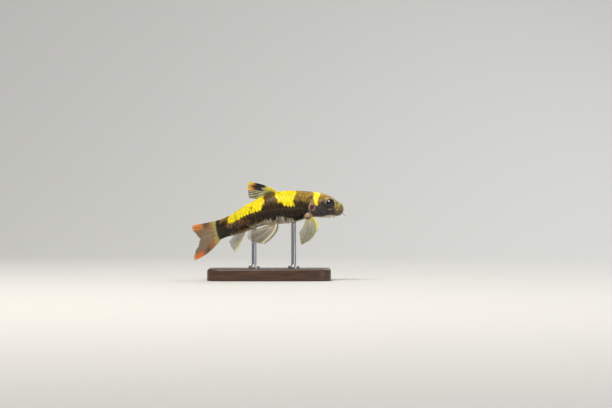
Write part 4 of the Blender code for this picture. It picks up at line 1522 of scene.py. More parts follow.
@dataclass
class Eye:
    """An eyeball with a wide dark pupil and a pale gold iris, and the lid of skin that fits it."""

    form: BodyForm
    side: Side
    spot: Spot = Spot(5.75, 65.5)
    radius: float = 2.3
    depth: float = 1.7
    sunk: float = 0.78
    look_forward: float = 0.10
    look_up: float = 0.16
    cornea: float = 0.08
    pupil: float = 0.79
    opening: float = 2.1
    lid_width: float = 0.9
    lid_thick: float = 0.10
    socket_gap: float = 0.35
    # skin farther in than this belongs to the head's other side
    inmost: float = -2.0
    rings: int = 96
    segments: int = 128

    def __post_init__(self) -> None:
        """Works out the eye's middle and its directions forwards, up, and out of the head."""
        back, right, above = self.form.spine.frame(self.spot.at)
        out = unit(right * self.side.value - back * self.look_forward + above * self.look_up)
        forward = unit(-back - out * np.dot(-back, out))
        self.axes = np.stack([forward, np.cross(out, forward) * self.side.value, out])
        self.centre = self.form.surface(self.spot.at, self.spot.angle * self.side.value) - out * self.sunk

    def lidded(self, points: Array) -> Array:
        """Draws the skin round the eye on to the eyeball, and the skin behind it into the socket.

        Args:
            points: The skin's points.

        Returns:
            The points in their new places.
        """
        forward, up, out = ((points - self.centre) @ axis for axis in self.axes)
        away = np.hypot(forward, up)
        ball = self.depth * np.sqrt(np.maximum(1.0 - (away / self.radius) ** 2, 0.0))
        lid = self.depth * math.sqrt(1.0 - (self.opening / self.radius) ** 2) + self.lid_thick
        wanted = mix(ball - self.socket_gap, lid, smooth(away, self.opening - 0.12, self.opening + 0.02))
        near = smooth(away, self.opening + self.lid_width, self.opening + 0.1) * (out > self.inmost)
        return points + ((wanted - out) * near)[..., None] * self.axes[2]

    def paint(self, ball: Array, turn: Array) -> Array:
        """The colours of the pupil and the iris, which is gold above and dark below.

        Args:
            ball: Places on a round ball of radius 1: forwards, up and out of the head.
            turn: Their angles round the pupil.

        Returns:
            A linear colour for each place.
        """
        forward, up, out = np.moveaxis(ball, -1, 0)
        rim = np.hypot(forward, up)
        seen = np.where(out > 0.0, rim, 2.0 - rim)
        streak = np.cos(turn * 37.0) * 0.5 + np.cos(turn * 61.0 + 1.7) * 0.5
        low = smooth(up, 0.25, -0.35)
        lights = mound(forward + 0.62, 0.5) * mound(up - 0.6, 0.5)
        lights = lights + mound(forward - 0.8, 0.35) * mound(up - 0.3, 0.45)
        return laid(
            np.broadcast_to(linear("#8E6F34"), ball.shape),
            ("#5C4420", 0.5 * smooth(streak, 0.1, 0.9) * smooth(seen, self.pupil + 0.04, self.pupil + 0.12)),
            ("#2A231B", 0.95 * low),
            ("#D8CC90", 0.95 * lights),
            ("#E9DFA6", 0.8 * mound(seen - self.pupil - 0.03, 0.025) * (1.0 - low)),
            ("#241D14", smooth(seen, 0.885, 0.92)),
            ("#06070E", smooth(seen, self.pupil + 0.02, self.pupil - 0.012)),
        )

    def build(self, material: Material) -> str:
        """Makes the eyeball in place of its solid.

        Args:
            material: Its material.

        Returns:
            The piece's name.
        """
        polar = np.linspace(0.001, math.pi - 0.001, self.rings)[:, None]
        turn = (np.arange(self.segments) * TURN / self.segments)[None, :]
        rim, front = np.sin(polar) + 0.0 * turn, np.cos(polar) + 0.0 * turn
        ball = np.stack([rim * np.cos(turn), rim * np.sin(turn), front], axis=-1)
        # the cornea bulges a little over the pupil
        bulge = 1.0 + self.cornea * smooth(rim, 0.8, 0.15) * (front > 0.0)
        size = np.stack([self.radius + 0.0 * rim, self.radius + 0.0 * rim, self.depth * bulge], axis=-1)
        flipped = self.side is Side.RIGHT
        faces = [
            grid_quads(self.rings, self.segments, wrapped=True, flipped=flipped),
            end_caps(self.rings, self.segments, flipped=flipped),
        ]
        shell = Shell(
            (self.centre + ball * size @ self.axes).reshape(-1, 3),
            np.concatenate(faces),
            self.paint(ball, turn).reshape(-1, 3),
        )
        return shell.piece(f"eyeball_{self.side.word}", [material], Slot.EYE, f"eye_{self.side.word}")


# The fish's fins and feelers


@dataclass(frozen=True)
class FinPaint:
    """A fin's colours at places share of the way across it and reach of the way out along its rays."""

    share: Array
    reach: Array

    def clear(self, code: str, solid: float) -> Array:
        """A web of one colour and solidity to lay other colours over."""
        return np.broadcast_to(np.append(linear(code), solid), (*self.share.shape, 4))

    def everywhere(self) -> Array:
        """1 at every place."""
        return np.ones(self.share.shape)

    def rear(self) -> Array:
        """1 at the rear of the dorsal fin, out from its root, and 0 in front."""
        return smooth(self.share, 0.40, 0.56) * smooth(self.reach, 0.2, 0.3)

    def dorsal(self) -> Array:
        """Yellow at the lead's root, a brown-black blotch, an orange tip, and a clear rear with dark lines.

        Returns:
            A linear colour and its alpha for each place.
        """
        share, reach = self.share, self.reach
        between = 0.5 - 0.5 * np.cos(TURN * share * 9.0)
        out = reach + 0.030 * np.sin(share * 57.0 + 1.0) + 0.018 * np.sin(share * 131.0)
        # the blotch slants: nearer the body at the lead than behind it
        blotch = out + 0.05 * np.sin(share * 23.0) + 0.10 * share
        blotch = smooth(blotch, 0.50, 0.56) * smooth(blotch, 0.90, 0.82)
        edge = np.maximum(smooth(out, 0.88, 0.97), smooth(share, 0.08, 0.03) * smooth(out, 0.74, 0.8))
        chain = smooth(np.abs(reach - 0.15 - 0.17 * share), 0.10, 0.05) * smooth(between, 0.0, 0.3)
        root = smooth(share, 0.06, 0.12) * smooth(share, 0.3, 0.2)
        lines = smooth(share, 0.44, 0.54) * smooth(between, 0.15, 0.5)
        return laid(
            self.clear("#A8A078", 0.30),
            ("#A9A834", 0.95 * smooth(share, 0.70, 0.45) * smooth(out, 0.50, 0.42), 0.72),
            ("#E9D21E", smooth(share, 0.22, 0.10) * smooth(out, 0.62, 0.46), 0.9),
            ("#E88A26", smooth(share, 0.56, 0.38) * smooth(out, 0.70, 0.80), 0.92),
            ("#F2D432", smooth(share, 0.56, 0.34) * edge, 0.9),
            ("#5E2A14", smooth(share, 0.50, 0.36) * mound(out - 0.77, 0.05), 0.93),
            ("#150E10", smooth(share + 0.1 * out, 0.54, 0.42) * blotch, 0.96),
            ("#130D0A", smooth(share, 0.10, 0.20) * chain, 0.96),
            ("#17100D", root * mound(out - 0.10, 0.035), 0.9),
            ("#140E0B", lines * smooth(out, 0.34, 0.50), 0.95),
        )

    def caudal(self) -> Array:
        """A green-yellow band at the root, smoky brown beyond, and orange lobe tips.

        Returns:
            A linear colour and its alpha for each place.
        """
        share, reach = self.share, self.reach
        upper, lower = smooth(share, 0.36, 0.12), smooth(share, 0.74, 0.93)
        outer = np.maximum(upper, lower)
        return laid(
            self.clear("#6E5428", 0.60),
            ("#B9B45A", smooth(reach + 0.05 * np.cos(share * 40.0), 0.30, 0.20), 0.88),
            ("#B4582A", 0.8 * mound(share - 0.26, 0.18) * mound(reach - 0.38, 0.11), 0.75),
            ("#B9562A", 0.85 * mound(share - 0.88, 0.18) * mound(reach - 0.34, 0.12), 0.78),
            ("#9C7A34", 0.5 * mound(share - 0.5, 0.2) * mound(reach - 0.4, 0.2), 0.5),
            ("#1D1511", 0.8 * outer * mound(reach - 0.50, 0.12), 0.88),
            ("#F08426", upper * smooth(reach, 0.54, 0.68), 0.92),
            ("#EC7428", lower * smooth(reach, 0.58, 0.72), 0.92),
            ("#F4D3A0", 0.8 * outer * smooth(reach, 0.90, 1.0), 0.75),
        )

    def anal(self) -> Array:
        """Clear grey-brown with a creamy lead.

        Returns:
            A linear colour and its alpha for each place.
        """
        share, reach = self.share, self.reach
        return laid(
            self.clear("#7D7258", 0.20),
            ("#D9CC74", smooth(share, 0.26, 0.06), 0.8),
            ("#E9E2B8", smooth(share, 0.2, 0.04) * smooth(reach, 0.6, 0.9), 0.9),
            ("#2A211A", 0.6 * mound(share - 0.4, 0.25) * mound(reach - 0.5, 0.2), 0.6),
        )

    def pectoral(self) -> Array:
        """Clear, with a lemon lead that pales towards its tip, and a smoky middle.

        Returns:
            A linear colour and its alpha for each place.
        """
        share, reach = self.share, self.reach
        lead = smooth(share, 0.15, 0.07)
        return laid(
            self.clear("#8A845E", 0.12),
            ("#3A3022", 0.7 * mound(share - 0.5, 0.28) * smooth(reach, 0.15, 0.55), 0.26),
            ("#B5A860", 0.9 * smooth(reach, 0.20, 0.04), 0.6),
            ("#F2E81C", lead * smooth(reach, 1.0, 0.75), 0.94),
            ("#EDE8C8", lead * smooth(reach, 0.75, 1.0), 0.9),
        )

    def pelvic(self) -> Array:
        """Clear brown with a whitish lead.

        Returns:
            A linear colour and its alpha for each place.
        """
        share, reach = self.share, self.reach
        return laid(
            self.clear("#8A7448", 0.17),
            ("#33281C", 0.7 * mound(share - 0.5, 0.25) * smooth(reach, 0.15, 0.6), 0.30),
            ("#E4DFC6", smooth(share, 0.17, 0.04), 0.85),
        )


@dataclass
class MedianFin:
    """How the rays run in a fin on the fish's middle line, above or below."""

    form: BodyForm
    base: Pair
    lengths: Pair
    degrees: Pair
    bow: float
    bow_at: float
    above: bool
    # how fast the bow dies away from the lead to the rear
    bow_fade: float
    root_sunk: float = 0.8

    def lines(self, share: Array) -> tuple[Array, Array, Array]:
        """Finds the rays' curves.

        Args:
            share: How far along the base each ray stands.

        Returns:
            Root, drawn-out middle and tip of each ray.
        """
        share = np.asarray(share, float)
        at = mix(*self.base, share)
        length = mix(*self.lengths, share) + self.root_sunk
        lean = np.radians(mix(*self.degrees, share))
        up = 1.0 if self.above else -1.0
        root = self.form.surface(at, 0.0 if self.above else math.pi, -self.root_sunk)
        back, _, top = self.form.spine.frame(at)
        along = back * np.cos(lean)[..., None] + top * (np.sin(lean) * up)[..., None]
        across = back * -np.sin(lean)[..., None] + top * (np.cos(lean) * up)[..., None]
        tip = root + along * length[..., None]
        bow = self.bow * np.clip(1.0 - share, 0.0, 1.0) ** self.bow_fade
        return root, mix(root, tip, self.bow_at) + across * bow[..., None], tip


@dataclass
class TailFin:
    """How the rays run in the tail fin, from its upper edge to its lower one."""

    form: BodyForm
    # at these shares of the way down the fin, how far back and how far up the rays' tips lie
    shares: Series = (0.0, 0.18, 0.5, 0.82, 1.0)
    tips_back: Series = (14.2, 14.5, 11.6, 16.4, 17.2)
    tips_up: Series = (5.9, 4.2, -1.0, -6.7, -8.9)
    # how far the upmost, middle and lowest rays have spread at their middles
    flare_shares: Series = (0.0, 0.5, 1.0)
    flare: Series = (0.42, 0.6, 1.0)
    middle_back: float = 0.42
    root_half: float = 3.8
    root_sunk: float = 0.8
    curl: float = 0.9

    def lines(self, share: Array) -> tuple[Array, Array, Array]:
        """Finds the rays' curves.

        Args:
            share: How far down the fin each ray stands, from 0 to 1.

        Returns:
            Root, drawn-out middle and tip of each ray.
        """
        share = np.asarray(share, float)
        spine, length = self.form.spine, self.form.length
        root_up = mix(self.root_half, -self.root_half, share)
        root = spine.place(share * 0.0 + length - self.root_sunk, share * 0.0, root_up)
        tail, right, above = spine.frame(length)
        centre = spine.place(length, 0.0, 0.0)
        back = Curve(self.shares, self.tips_back)(share)[..., None]
        up = Curve(self.shares, self.tips_up)(share)
        middle_up = mix(root_up, up, Curve(self.flare_shares, self.flare)(share))[..., None]
        middle = centre + tail * back * self.middle_back + above * middle_up
        return root, middle, centre + tail * back - right * self.curl + above * up[..., None]


@dataclass
class PairedFin:
    """How the rays run in a pectoral or pelvic fin, fanned out from a short root."""

    form: BodyForm
    side: Side
    spot: Spot
    # how far the fin's fleshy base stands out
    base_height: float
    # the root's two ends: how far towards the tail and how far up round the body
    root_line: tuple[Pair, Pair]
    # at these shares of the way across, how far back, how far out and how far up the tips lie
    shares: Series
    tips: tuple[Series, ...]
    # how far the rays' middles are drawn back, out and up at the lead, and by what share less at the rear
    bulge: Triple
    bulge_loss: float = 0.6
    middle_at: float = 0.45
    root_sunk: float = 0.8

    def lines(self, share: Array) -> tuple[Array, Array, Array]:
        """Finds the rays' curves.

        Args:
            share: How far across the fin each ray stands, from 0 to 1.

        Returns:
            Root, drawn-out middle and tip of each ray.
        """
        share = np.asarray(share, float)
        back, out, upward = self.form.axes(self.spot.at, self.spot.angle, self.side)
        skin = self.form.surface(self.spot.at, self.spot.angle * self.side.value)
        (first_back, first_up), (last_back, last_up) = self.root_line
        root = skin + out * (self.base_height - self.root_sunk)
        root = root + back * mix(first_back, last_back, share)[..., None]
        root = root + upward * mix(first_up, last_up, share)[..., None]
        moves = [Curve(self.shares, values)(share)[..., None] for values in self.tips]
        tip = skin + self.form.spine.offset(self.spot.at, moves, self.side)
        swell = self.form.spine.offset(self.spot.at, self.bulge, self.side)
        middle = mix(root, tip, self.middle_at) + swell * (1.0 - self.bulge_loss * share)[..., None]
        return root, middle, tip


@dataclass
class RayFin:
    """A fin of branching rays with a clear web between them."""

    name: str
    node: str
    lines: Callable[[Array], tuple[Array, Array, Array]]
    colours: Callable[[FinPaint], Array]
    rays: int
    # the colour that the rays lean to, how far, and where
    ray_light: str
    ray_depth: float
    ray_fade: Callable[[FinPaint], Array] = FinPaint.everywhere
    slot: Slot = Slot.WEB
    across: Pair = (0.0, 1.0)
    ray_radius: float = 0.15
    tip_radius: float = 0.045
    # the stout lead ray: its radius, how many times as thick its tip is, its taper's curve and its place
    lead_radius: float = 0.24
    lead_tip: float = 1.6
    lead_taper: float = 1.2
    lead_at: float = 0.0
    # the web's thickness, and how many times that it is at the root and at the edge
    web_thick: float = 0.09
    web_taper: Pair = (1.5, 0.7)
    # how far out the rays split, and how far the thicker part runs on inside the thinner ones
    split_at: float = 0.40
    split_again: float = 0.68
    run_on: Pair = (0.06, 0.05)
    # how far branches and twigs swing aside, as shares of the gap between rays, and where they end
    swing: Pair = (0.24, 0.11)
    swing_end: float = 0.95
    twig_end: float = 0.995
    # as shares of the ray's radius: a stem carried on to the tip, a branch's two ends, and a twig's start
    girths: tuple[float, float, float, float] = (0.72, 0.66, 0.5, 0.46)
    # how deep the edge dips between rays, and how much the dips differ
    scallop: float = 0.035
    fray: Pair = (0.3, 1.5)
    # ripples of the web: their height at the edge, how many to a gap, and where in a wave they start
    ripple: float = 0.22
    ripple_pace: float = 0.35
    ripple_start: float = 1.3
    steps: int = 22
    steps_per_gap: int = 6
    sides: int = 6
    # the step across which the fin's slopes are taken
    tiny: float = 0.004

    @property
    def gap(self) -> float:
        """The share of the fin that lies between two rays."""
        return (self.across[1] - self.across[0]) / (self.rays - 1)

    def surface(self, share: Array, reach: Array) -> Array:
        """Places on the flat fin, share of the way across it and reach of the way out along a ray."""
        (root, middle, tip), t = self.lines(share), reach[..., None]
        return root * (1.0 - t) ** 2 + middle * 2.0 * (1.0 - t) * t + tip * t**2

    def normals(self, share: Array, reach: Array) -> Array:
        """Finds which way the fin's face points.

        Args:
            share: How far along the base each place lies.
            reach: How far out it lies.

        Returns:
            Unit vectors out of the face.
        """
        slopes = [
            self.surface(share + over, reach + out) - self.surface(share - over, reach - out)
            for over, out in ((self.tiny, 0.0), (0.0, self.tiny))
        ]
        return unit(np.cross(*slopes))

    def wavy(self, share: Array, reach: Array) -> Array:
        """Places on the fin as surface gives them, with the soft ripples of a spread web."""
        wave = np.sin(share / self.gap * self.ripple_pace * TURN + self.ripple_start) * self.ripple * reach**2
        return self.surface(share, reach) + self.normals(share, reach) * wave[..., None]

    def web(self) -> Shell:
        """The web: one thin closed sheet with an edge that dips between the rays.

        Returns:
            The sheet, which takes the first of the fin's materials.
        """
        columns = (self.rays - 1) * self.steps_per_gap + 1
        between = 0.5 - 0.5 * np.cos(np.arange(columns) / self.steps_per_gap * TURN)
        draw = np.random.default_rng(len(self.name) + SEED)
        edge = 1.0 - self.scallop * between * draw.uniform(*self.fray, columns)
        reach = np.linspace(0.0, 1.0, self.steps)[:, None] * edge
        share = np.linspace(*self.across, columns) + reach * 0.0
        middle, normal = self.wavy(share, reach), self.normals(share, reach)
        thick = (self.web_thick * mix(*self.web_taper, reach) * 0.5)[..., None]
        quads = sheet_quads(self.steps, columns)
        tint = self.colours(FinPaint(share, reach)).reshape(-1, 4)
        return Shell(
            np.concatenate([middle + normal * thick, middle - normal * thick]).reshape(-1, 3),
            quads,
            np.tile(tint, (2, 1)),
            marks={"reach": np.tile(reach.reshape(-1), 2)},
            finish=np.zeros(len(quads)),
        )

    def ray_paint(self, share: Array, reach: Array) -> Array:
        """Colours of the rays: those of the web, solid and leaning to the rays' own light.

        Args:
            share: How far across the fin each place lies.
            reach: How far out along a ray it lies.

        Returns:
            A linear colour and its alpha for each place.
        """
        paint = FinPaint(share, reach)
        shade = laid(self.colours(paint), (self.ray_light, self.ray_depth * self.ray_fade(paint), 1.0))
        shade[..., 3] = 1.0
        return shade

    def branch(self, start: float, path: Array, reach: Array, radii: Array) -> Shell:
        """One stem, branch or twig of a ray, as a thin tube in the fin's surface.

        Args:
            start: How far across the fin the ray's root stands.
            path: How far across the fin each step of the tube lies.
            reach: How far out it lies.
            radii: The tube's radius there.

        Returns:
            The tube, which takes the second of the fin's materials.
        """
        line = self.wavy(path, reach)
        normal = self.normals(path, reach)[len(path) // 2]
        points, quads = tube(line, radii, self.sides, normal)
        along, across = (np.repeat(np.pad(values, 1, "edge"), self.sides) for values in (reach, path))
        root, _, tip = self.lines(np.array([start]))
        return Shell(
            points,
            quads,
            self.ray_paint(across, along),
            marks={"reach": along * float(np.linalg.norm(tip - root))},
            finish=np.ones(len(quads)),
        )

    def ray(self, index: int) -> Iterator[Shell]:
        """One whole ray: a stem that splits in two and again, or a plain stout one at the fin's lead.

        Args:
            index: Its number, counted from the first.

        Yields:
            Each of its tubes.
        """
        share = self.across[0] + self.gap * index
        if abs(share - self.lead_at) < self.gap * 0.5:
            reach = np.linspace(0.0, 1.0, self.steps)
            radii = mix(self.lead_radius, self.tip_radius * self.lead_tip, reach**self.lead_taper)
            yield self.branch(share, share + reach * 0.0, reach, radii)
            return
        half = self.steps // 2
        stem, first, last, twig_root = (self.ray_radius * girth for girth in self.girths)
        reach = np.linspace(0.0, self.split_at + self.run_on[0], half)
        yield self.branch(share, share + reach * 0.0, reach, mix(self.ray_radius, stem, reach))
        # the fin's outermost rays fork to the inside only
        inward = 1.0 if share < sum(self.across) / 2.0 else -1.0
        for fork in (inward,) if index in (0, self.rays - 1) else (-1.0, 1.0):
            swing, twig_swing = (self.gap * part for part in self.swing)
            reach = np.linspace(self.split_at, self.split_again + self.run_on[1], half)
            path = share + fork * swing * smooth(reach, self.split_at, self.swing_end)
            yield self.branch(share, path, reach, np.linspace(first, last, half))
            reach = np.linspace(self.split_again, self.twig_end, half)
            path = share + fork * swing * smooth(reach, self.split_at, self.swing_end)
            for twig in (-1.0, 1.0):
                aside = twig * twig_swing * smooth(reach, self.split_again, 1.0)
                yield self.branch(share, path + aside, reach, np.linspace(twig_root, self.tip_radius, half))

    def build(self, materials: Sequence[Material]) -> str:
        """Makes the fin in place of its solid.

        Args:
            materials: The web's material and the rays' one.

        Returns:
            The piece's name.
        """
        tubes = [part for index in range(self.rays) for part in self.ray(index)]
        return joined([self.web(), *tubes]).piece(self.name, materials, self.slot, self.node)


@dataclass
class Barbel:
    """A short soft feeler at the snout or at the mouth's corner."""

    form: BodyForm
    side: Side
    word: str
    spot: Spot
    # how far the tip lies back, out and up from the root, and how the middle is drawn aside
    reach: Triple
    bow: Triple = (-0.35, 0.35, 0.30)
    bow_at: float = 0.55
    radii: Series = (0.42, 0.29, 0.25, 0.22, 0.20, 0.18, 0.15, 0.10)
    sunk: float = 0.5
    # soft rings round it: how high, and the angle that their wave turns through along it, in radians
    ring_height: float = 0.04
    ring_pace: float = 60.0
    root_tone: str = "#6E5A38"
    tip_tone: str = "#A9AA96"
    steps: int = 24
    sides: int = 12

    def build(self, material: Material) -> str:
        """Makes the feeler in place of its solid.

        Args:
            material: Its material.

        Returns:
            The piece's name.
        """
        spine = self.form.spine
        root = self.form.surface(self.spot.at, self.spot.angle * self.side.value)
        tip = root + spine.offset(self.spot.at, self.reach, self.side)
        start = root - unit(tip - root) * self.sunk
        middle = mix(start, tip, self.bow_at) + spine.offset(self.spot.at, self.bow, self.side)
        share = np.linspace(0.0, 1.0, self.steps)
        t = share[:, None]
        line = start * (1.0 - t) ** 2 + middle * 2.0 * t * (1.0 - t) + tip * t**2
        radii = np.interp(share, np.linspace(0.0, 1.0, len(self.radii)), self.radii)
        radii = radii * (1.0 + self.ring_height * np.sin(share * self.ring_pace))
        points, quads = tube(line, radii, self.sides, spine.frame(self.spot.at)[2])
        fade = np.repeat(np.pad(share, 1, "edge"), self.sides)[:, None]
        tint = mix(linear(self.root_tone), linear(self.tip_tone), smooth(fade, 0.15, 0.8))
        name = f"{self.word}_{self.side.word}"
        return Shell(points, quads, tint).piece(f"feeler_{name}", [material], Slot.BARBEL, f"barbel_{name}")


@dataclass
class Garra:
    """The whole fish: skin, scales, eyes, feelers and fins."""

    form: BodyForm = field(default_factory=BodyForm)

    def median_fins(self) -> list[RayFin]:
        """Lays out the fins on the middle line.

        Returns:
            The dorsal fin, the anal fin and the tail fin's two lobes.
        """
        dorsal = MedianFin(
            self.form, base=(26.7, 33.8), lengths=(13.3, 4.2), degrees=(26.5, 22.0),
            bow=1.9, bow_at=0.38, above=True, bow_fade=2.0,
        )
        anal = MedianFin(
            self.form, base=(44.4, 49.0), lengths=(10.5, 4.8), degrees=(38.0, 28.0),
            bow=0.5, bow_at=0.5, above=False, bow_fade=1.0,
        )
        tail = {
            "lines": TailFin(self.form).lines, "colours": FinPaint.caudal, "rays": 10,
            "ray_light": "#D6A660", "ray_depth": 0.34, "slot": Slot.TAIL_WEB, "ray_radius": 0.16,
        }
        return [
            RayFin(
                "dorsal_fin_dressed", "dorsal_fin", dorsal.lines, FinPaint.dorsal, rays=10,
                ray_light="#D3C98C", ray_depth=0.9, ray_fade=FinPaint.rear, ray_radius=0.14,
            ),
            RayFin(
                "anal_fin_dressed", "anal_fin", anal.lines, FinPaint.anal, rays=7,
                ray_light="#C9BD8C", ray_depth=0.5,
            ),
            RayFin("tail_fin_upper", "caudal_fin_upper", across=(0.0, 0.497), **tail),
            RayFin("tail_fin_lower", "caudal_fin_lower", across=(0.503, 1.0), lead_at=1.0, **tail),
        ]

    def paired_fins(self, side: Side) -> list[RayFin]:
        """Lays out one side's fins.

        Args:
            side: The side of the fish.

        Returns:
            The pectoral fin and the pelvic one.
        """
        pectoral = PairedFin(
            self.form, side, spot=Spot(15.5, 122.0), base_height=1.15, root_line=((-2.1, -1.0), (0.5, -1.5)),
            shares=(0.0, 0.35, 0.65, 1.0),
            tips=((-3.8, -0.7, 2.8, 3.6), (6.2, 5.0, 3.2, 1.2), (-7.1, -10.8, -12.6, -7.4)),
            bulge=(-2.3, 1.1, 0.4),
        )
        pelvic = PairedFin(
            self.form, side, spot=Spot(30.3, 154.0), base_height=0.85, root_line=((-0.9, 0.0), (1.2, -0.1)),
            shares=(0.0, 0.35, 0.7, 1.0),
            tips=((6.6, 9.6, 12.0, 11.4), (2.4, 3.0, 2.8, 2.0), (-7.7, -6.4, -3.8, -1.2)),
            bulge=(-3.2, 1.4, -1.0),
        )
        return [
            RayFin(
                f"pectoral_{side.word}", f"pectoral_fin_{side.word}", pectoral.lines, FinPaint.pectoral,
                rays=13, ray_light="#C6BC84", ray_depth=0.5, ray_radius=0.13,
            ),
            RayFin(
                f"pelvic_{side.word}", f"pelvic_fin_{side.word}", pelvic.lines, FinPaint.pelvic,
                rays=9, ray_light="#C6BA8E", ray_depth=0.5, ray_radius=0.13,
            ),
        ]

    def barbels(self, side: Side) -> list[Barbel]:
        """The feelers of one side, at the snout and at the mouth's corner."""
        rostral = Barbel(self.form, side, "rostral", Spot(1.15, 132.0), (-1.7, 1.2, -1.3))
        return [rostral, Barbel(self.form, side, "maxillary", Spot(3.6, 146.0), (0.7, 1.1, -1.5))]

    def build(self) -> Iterator[str]:
        """Makes the fish's pieces in order.

        Yields:
            The name of each piece.
        """
        relief = HeadRelief(self.form)
        markings = Markings(self.form, relief)
        eyes = [Eye(self.form, side) for side in Side]
        skin = WetSkin().material()
        yield Skin(self.form, relief, markings).build(eyes, skin)
        yield from Scales(self.form, relief, markings).build(ScaleHorn().material())
        web, ray, ball = FinWeb().material(), JointedRay().material(), Eyeball().material()
        for eye in eyes:
            yield eye.build(ball)
            for barbel in self.barbels(eye.side):
                yield barbel.build(skin)
        for fin in self.median_fins() + [fin for side in Side for fin in self.paired_fins(side)]:
            yield fin.build([web, ray])


# The stand and the studio


@dataclass
class DisplayStand:
    """A bevelled base and two turned rods with feet, in the places of their solids."""

    corner: float = 6.0
    bevel: float = 0.8
    foot_bevel: float = 0.4
    # how far in from its edges the base's top and bottom are closed
    close_in: float = 1.3
    rod_radius: float = 1.0
    foot_radius: float = 2.4
    foot_height: float = 1.2
    foot_round: float = 0.35
    # the foot's straight side runs from this far below the base's top to this far above it
    foot_side: Pair = (-0.05, 0.1)
    # the cove over the foot: how far out of the rod and how far above the foot each step is
    cove: tuple[Pair, ...] = ((0.5, 0.0), (0.15, 0.12), (0.0, 0.5))
    # the rod's last steps, from its solid's top: the upper one is hidden in the belly
    rod_end: Pair = (-0.4, 0.45)
    segments: int = 72
    arc_steps: int = 6

    def box(self, node: str) -> tuple[Array, Array]:
        """Lowest and highest corner of a solid in millimetres."""
        return tuple(np.array(corner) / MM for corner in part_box(node))

    def ways(self) -> Array:
        """Level directions, once round."""
        turns = np.arange(self.segments) * TURN / self.segments
        return np.stack([np.cos(turns), np.sin(turns)], axis=-1)

    def arc(self, radius: float) -> list[Pair]:
        """Steps of a quarter round of the radius: how far in and how far down from the outer corner."""
        turns = np.linspace(0.0, math.pi / 2.0, self.arc_steps + 1)
        return [(radius * (1.0 - math.sin(turn)), radius * (1.0 - math.cos(turn))) for turn in turns]

    def solid(self, outlines: Sequence[tuple[Array, float]]) -> Shell:
        """A closed form through level outlines.

        Args:
            outlines: The points of each outline and its height, from the foot up.

        Returns:
            The form, with no colours of its own.
        """
        rings = [np.column_stack([outline, np.full(len(outline), height)]) for outline, height in outlines]
        quads = grid_quads(len(rings), self.segments, wrapped=True)
        points = np.concatenate(rings)
        faces = np.concatenate([quads, end_caps(len(rings), self.segments)])
        return Shell(points, faces, np.ones((len(points), 3)))

    def base(self, material: Material) -> str:
        """Makes the base with rounded corners and edges.

        Args:
            material: Its material.

        Returns:
            The piece's name.
        """
        low, high = self.box("stand_base")
        middle, half = (low + high)[:2] / 2.0, (high - low)[:2] / 2.0
        way = self.ways()
        corners = middle + np.sign(np.round(way, 9)) * (half - self.corner)
        profile = [(self.close_in, low[2])]
        profile += [(inset, low[2] + down) for inset, down in self.arc(self.foot_bevel)]
        profile += [(inset, high[2] - down) for inset, down in reversed(self.arc(self.bevel))]
        profile += [(self.close_in, high[2])]
        shell = self.solid([(corners + way * (self.corner - inset), height) for inset, height in profile])
        return shell.piece("walnut_base", [material], Slot.WOOD, "stand_base")

    def rod(self, place: str, material: Material) -> str:
        """Makes one turned rod with its foot.

        Args:
            place: Where under the fish it stands, as the names of the solid and the piece say it.
            material: Its material.

        Returns:
            The piece's name.
        """
        low, high = self.box(f"stand_rod_{place}")
        middle, way = (low + high)[:2] / 2.0, self.ways()
        start = self.box("stand_base")[1][2]
        top = start + self.foot_height
        steps = [(self.foot_radius, start + up) for up in self.foot_side]
        shoulder = reversed(self.arc(self.foot_round))
        steps += [(self.foot_radius - inset, top - down) for inset, down in shoulder]
        steps += [(self.rod_radius + out, top + up) for out, up in self.cove]
        steps += [(self.rod_radius, high[2] + up) for up in self.rod_end]
        shell = self.solid([(middle + way * radius, height) for radius, height in steps])
        return shell.piece(f"steel_rod_{place}", [material], Slot.STEEL, f"stand_rod_{place}")

    def build(self) -> Iterator[str]:
        """Makes the base and both rods.

        Yields:
            The name of each piece.
        """
        yield self.base(StainedWalnut().material())
        steel = BrushedSteel().material()
        for place in ("front", "rear"):
            yield self.rod(place, steel)


@dataclass(frozen=True)
class Lamp:
    """One soft square lamp that points at the fish; lengths in metres."""

    name: str
    spot: Triple
    size: float
    watts: float
    tone: str
    target: Triple = (0.0, 0.0, 0.03)

    def build(self) -> str:
        """Sets the lamp up.

        Returns:
            Its name.
        """
        light = bpy.data.lights.new(self.name, "AREA")
        light.size = self.size
        light.energy = self.watts
        light.color = linear(self.tone)
        holder = placed(self.name, light)
        holder.location = self.spot
        aim = Vector(self.target) - holder.location
        holder.rotation_euler = aim.to_track_quat("-Z", "Y").to_euler()
        return self.name


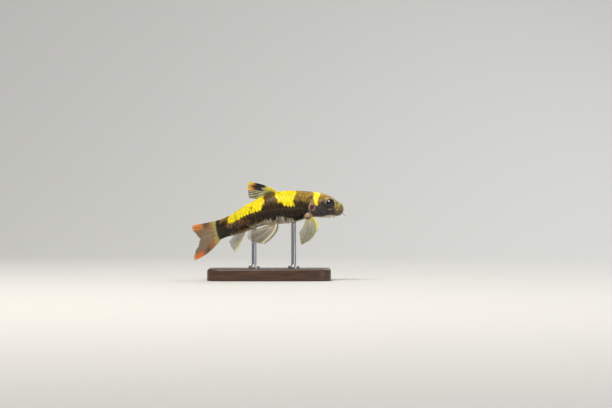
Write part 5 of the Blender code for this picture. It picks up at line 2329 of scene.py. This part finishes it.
@dataclass
class Studio:
    """A pale floor that curves up into a backdrop, soft lamps, and the camera; lengths in metres."""

    # the floor's near edge and half its width, where it starts to rise, its bend and its top
    reach: float = 3.0
    rise_from: float = 0.5
    bend: float = 0.5
    bend_steps: int = 16
    lamps: tuple[Lamp, ...] = (
        Lamp("key_lamp", (-0.20, -0.40, 0.75), 0.40, 7.0, "#FFF6EA"),
        Lamp("fill_lamp", (0.7, -0.7, 0.25), 0.6, 1.8, "#F4F8FF"),
        Lamp("rim_lamp", (0.35, 0.6, 0.6), 0.4, 2.4, "#FFFFFF"),
    )
    air_tone: str = "#E9EDF2"
    air_light: float = 0.30
    # focal length and sensor width in millimetres, and what the picture spans at the fish in metres
    lens: float = 100.0
    sensor: float = 22.3
    picture_width: float = 0.2586
    aim: Triple = (0.0155, -0.003, 0.0323)
    clip: Pair = (0.01, 20.0)

    def backdrop(self) -> str:
        """Makes the floor and the backdrop as one sheet, which isn't part of the object.

        Returns:
            Its name.
        """
        start, bend = self.rise_from, self.bend
        turns = np.linspace(0.05, math.pi / 2.0, self.bend_steps)
        profile = [(-self.reach, 0.0), (start, 0.0)]
        profile += [(start + bend * math.sin(turn), bend * (1.0 - math.cos(turn))) for turn in turns]
        profile += [(start + bend, self.reach)]
        verts = [(x, y, z) for y, z in profile for x in (-self.reach, self.reach)]
        faces = [(2 * k, 2 * k + 1, 2 * k + 3, 2 * k + 2) for k in range(len(profile) - 1)]
        mesh = bpy.data.meshes.new("studio_floor")
        mesh.from_pydata(verts, [], faces)
        mesh.shade_smooth()
        mesh.materials.append(BackdropPaper().material())
        floor = placed("studio_floor", mesh)
        return floor.name

    def air(self) -> str:
        """Lights everything a little from all round.

        Returns:
            The world's name.
        """
        world = bpy.data.worlds.new("studio_air")
        world.use_nodes = True
        sky = world.node_tree.nodes["Background"]
        sky.inputs["Color"].default_value = (*linear(self.air_tone), 1.0)
        sky.inputs["Strength"].default_value = self.air_light
        bpy.context.scene.world = world
        return world.name

    def camera(self) -> str:
        """Sets a level camera off the fish's right side, with the photograph's framing.

        Returns:
            Its name.
        """
        data = bpy.data.cameras.new("studio_camera")
        data.lens = self.lens
        data.sensor_width = self.sensor
        data.sensor_fit = "HORIZONTAL"
        data.clip_start, data.clip_end = self.clip
        holder = placed("studio_camera", data)
        across, near, up = self.aim
        holder.location = (across, near - self.picture_width * self.lens / self.sensor, up)
        holder.rotation_euler = (math.pi / 2.0, 0.0, 0.0)
        bpy.context.scene.camera = holder
        return holder.name

    def build(self) -> Iterator[str]:
        """Sets up everything round the object.

        Yields:
            The name of each thing.
        """
        yield self.backdrop()
        for lamp in self.lamps:
            yield lamp.build()
        yield self.air()
        bpy.context.scene.view_settings.view_transform = "Standard"
        yield self.camera()


def main() -> None:
    """Builds the fish, dresses its stand, sets the studio up, and reports each piece."""
    logging.basicConfig(level=logging.INFO, format="%(name)s: %(message)s")
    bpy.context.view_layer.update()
    for part in (Garra(), DisplayStand(), Studio()):
        for name in part.build():
            LOG.info("made %s", name)


if __name__ == "__main__":
    main()
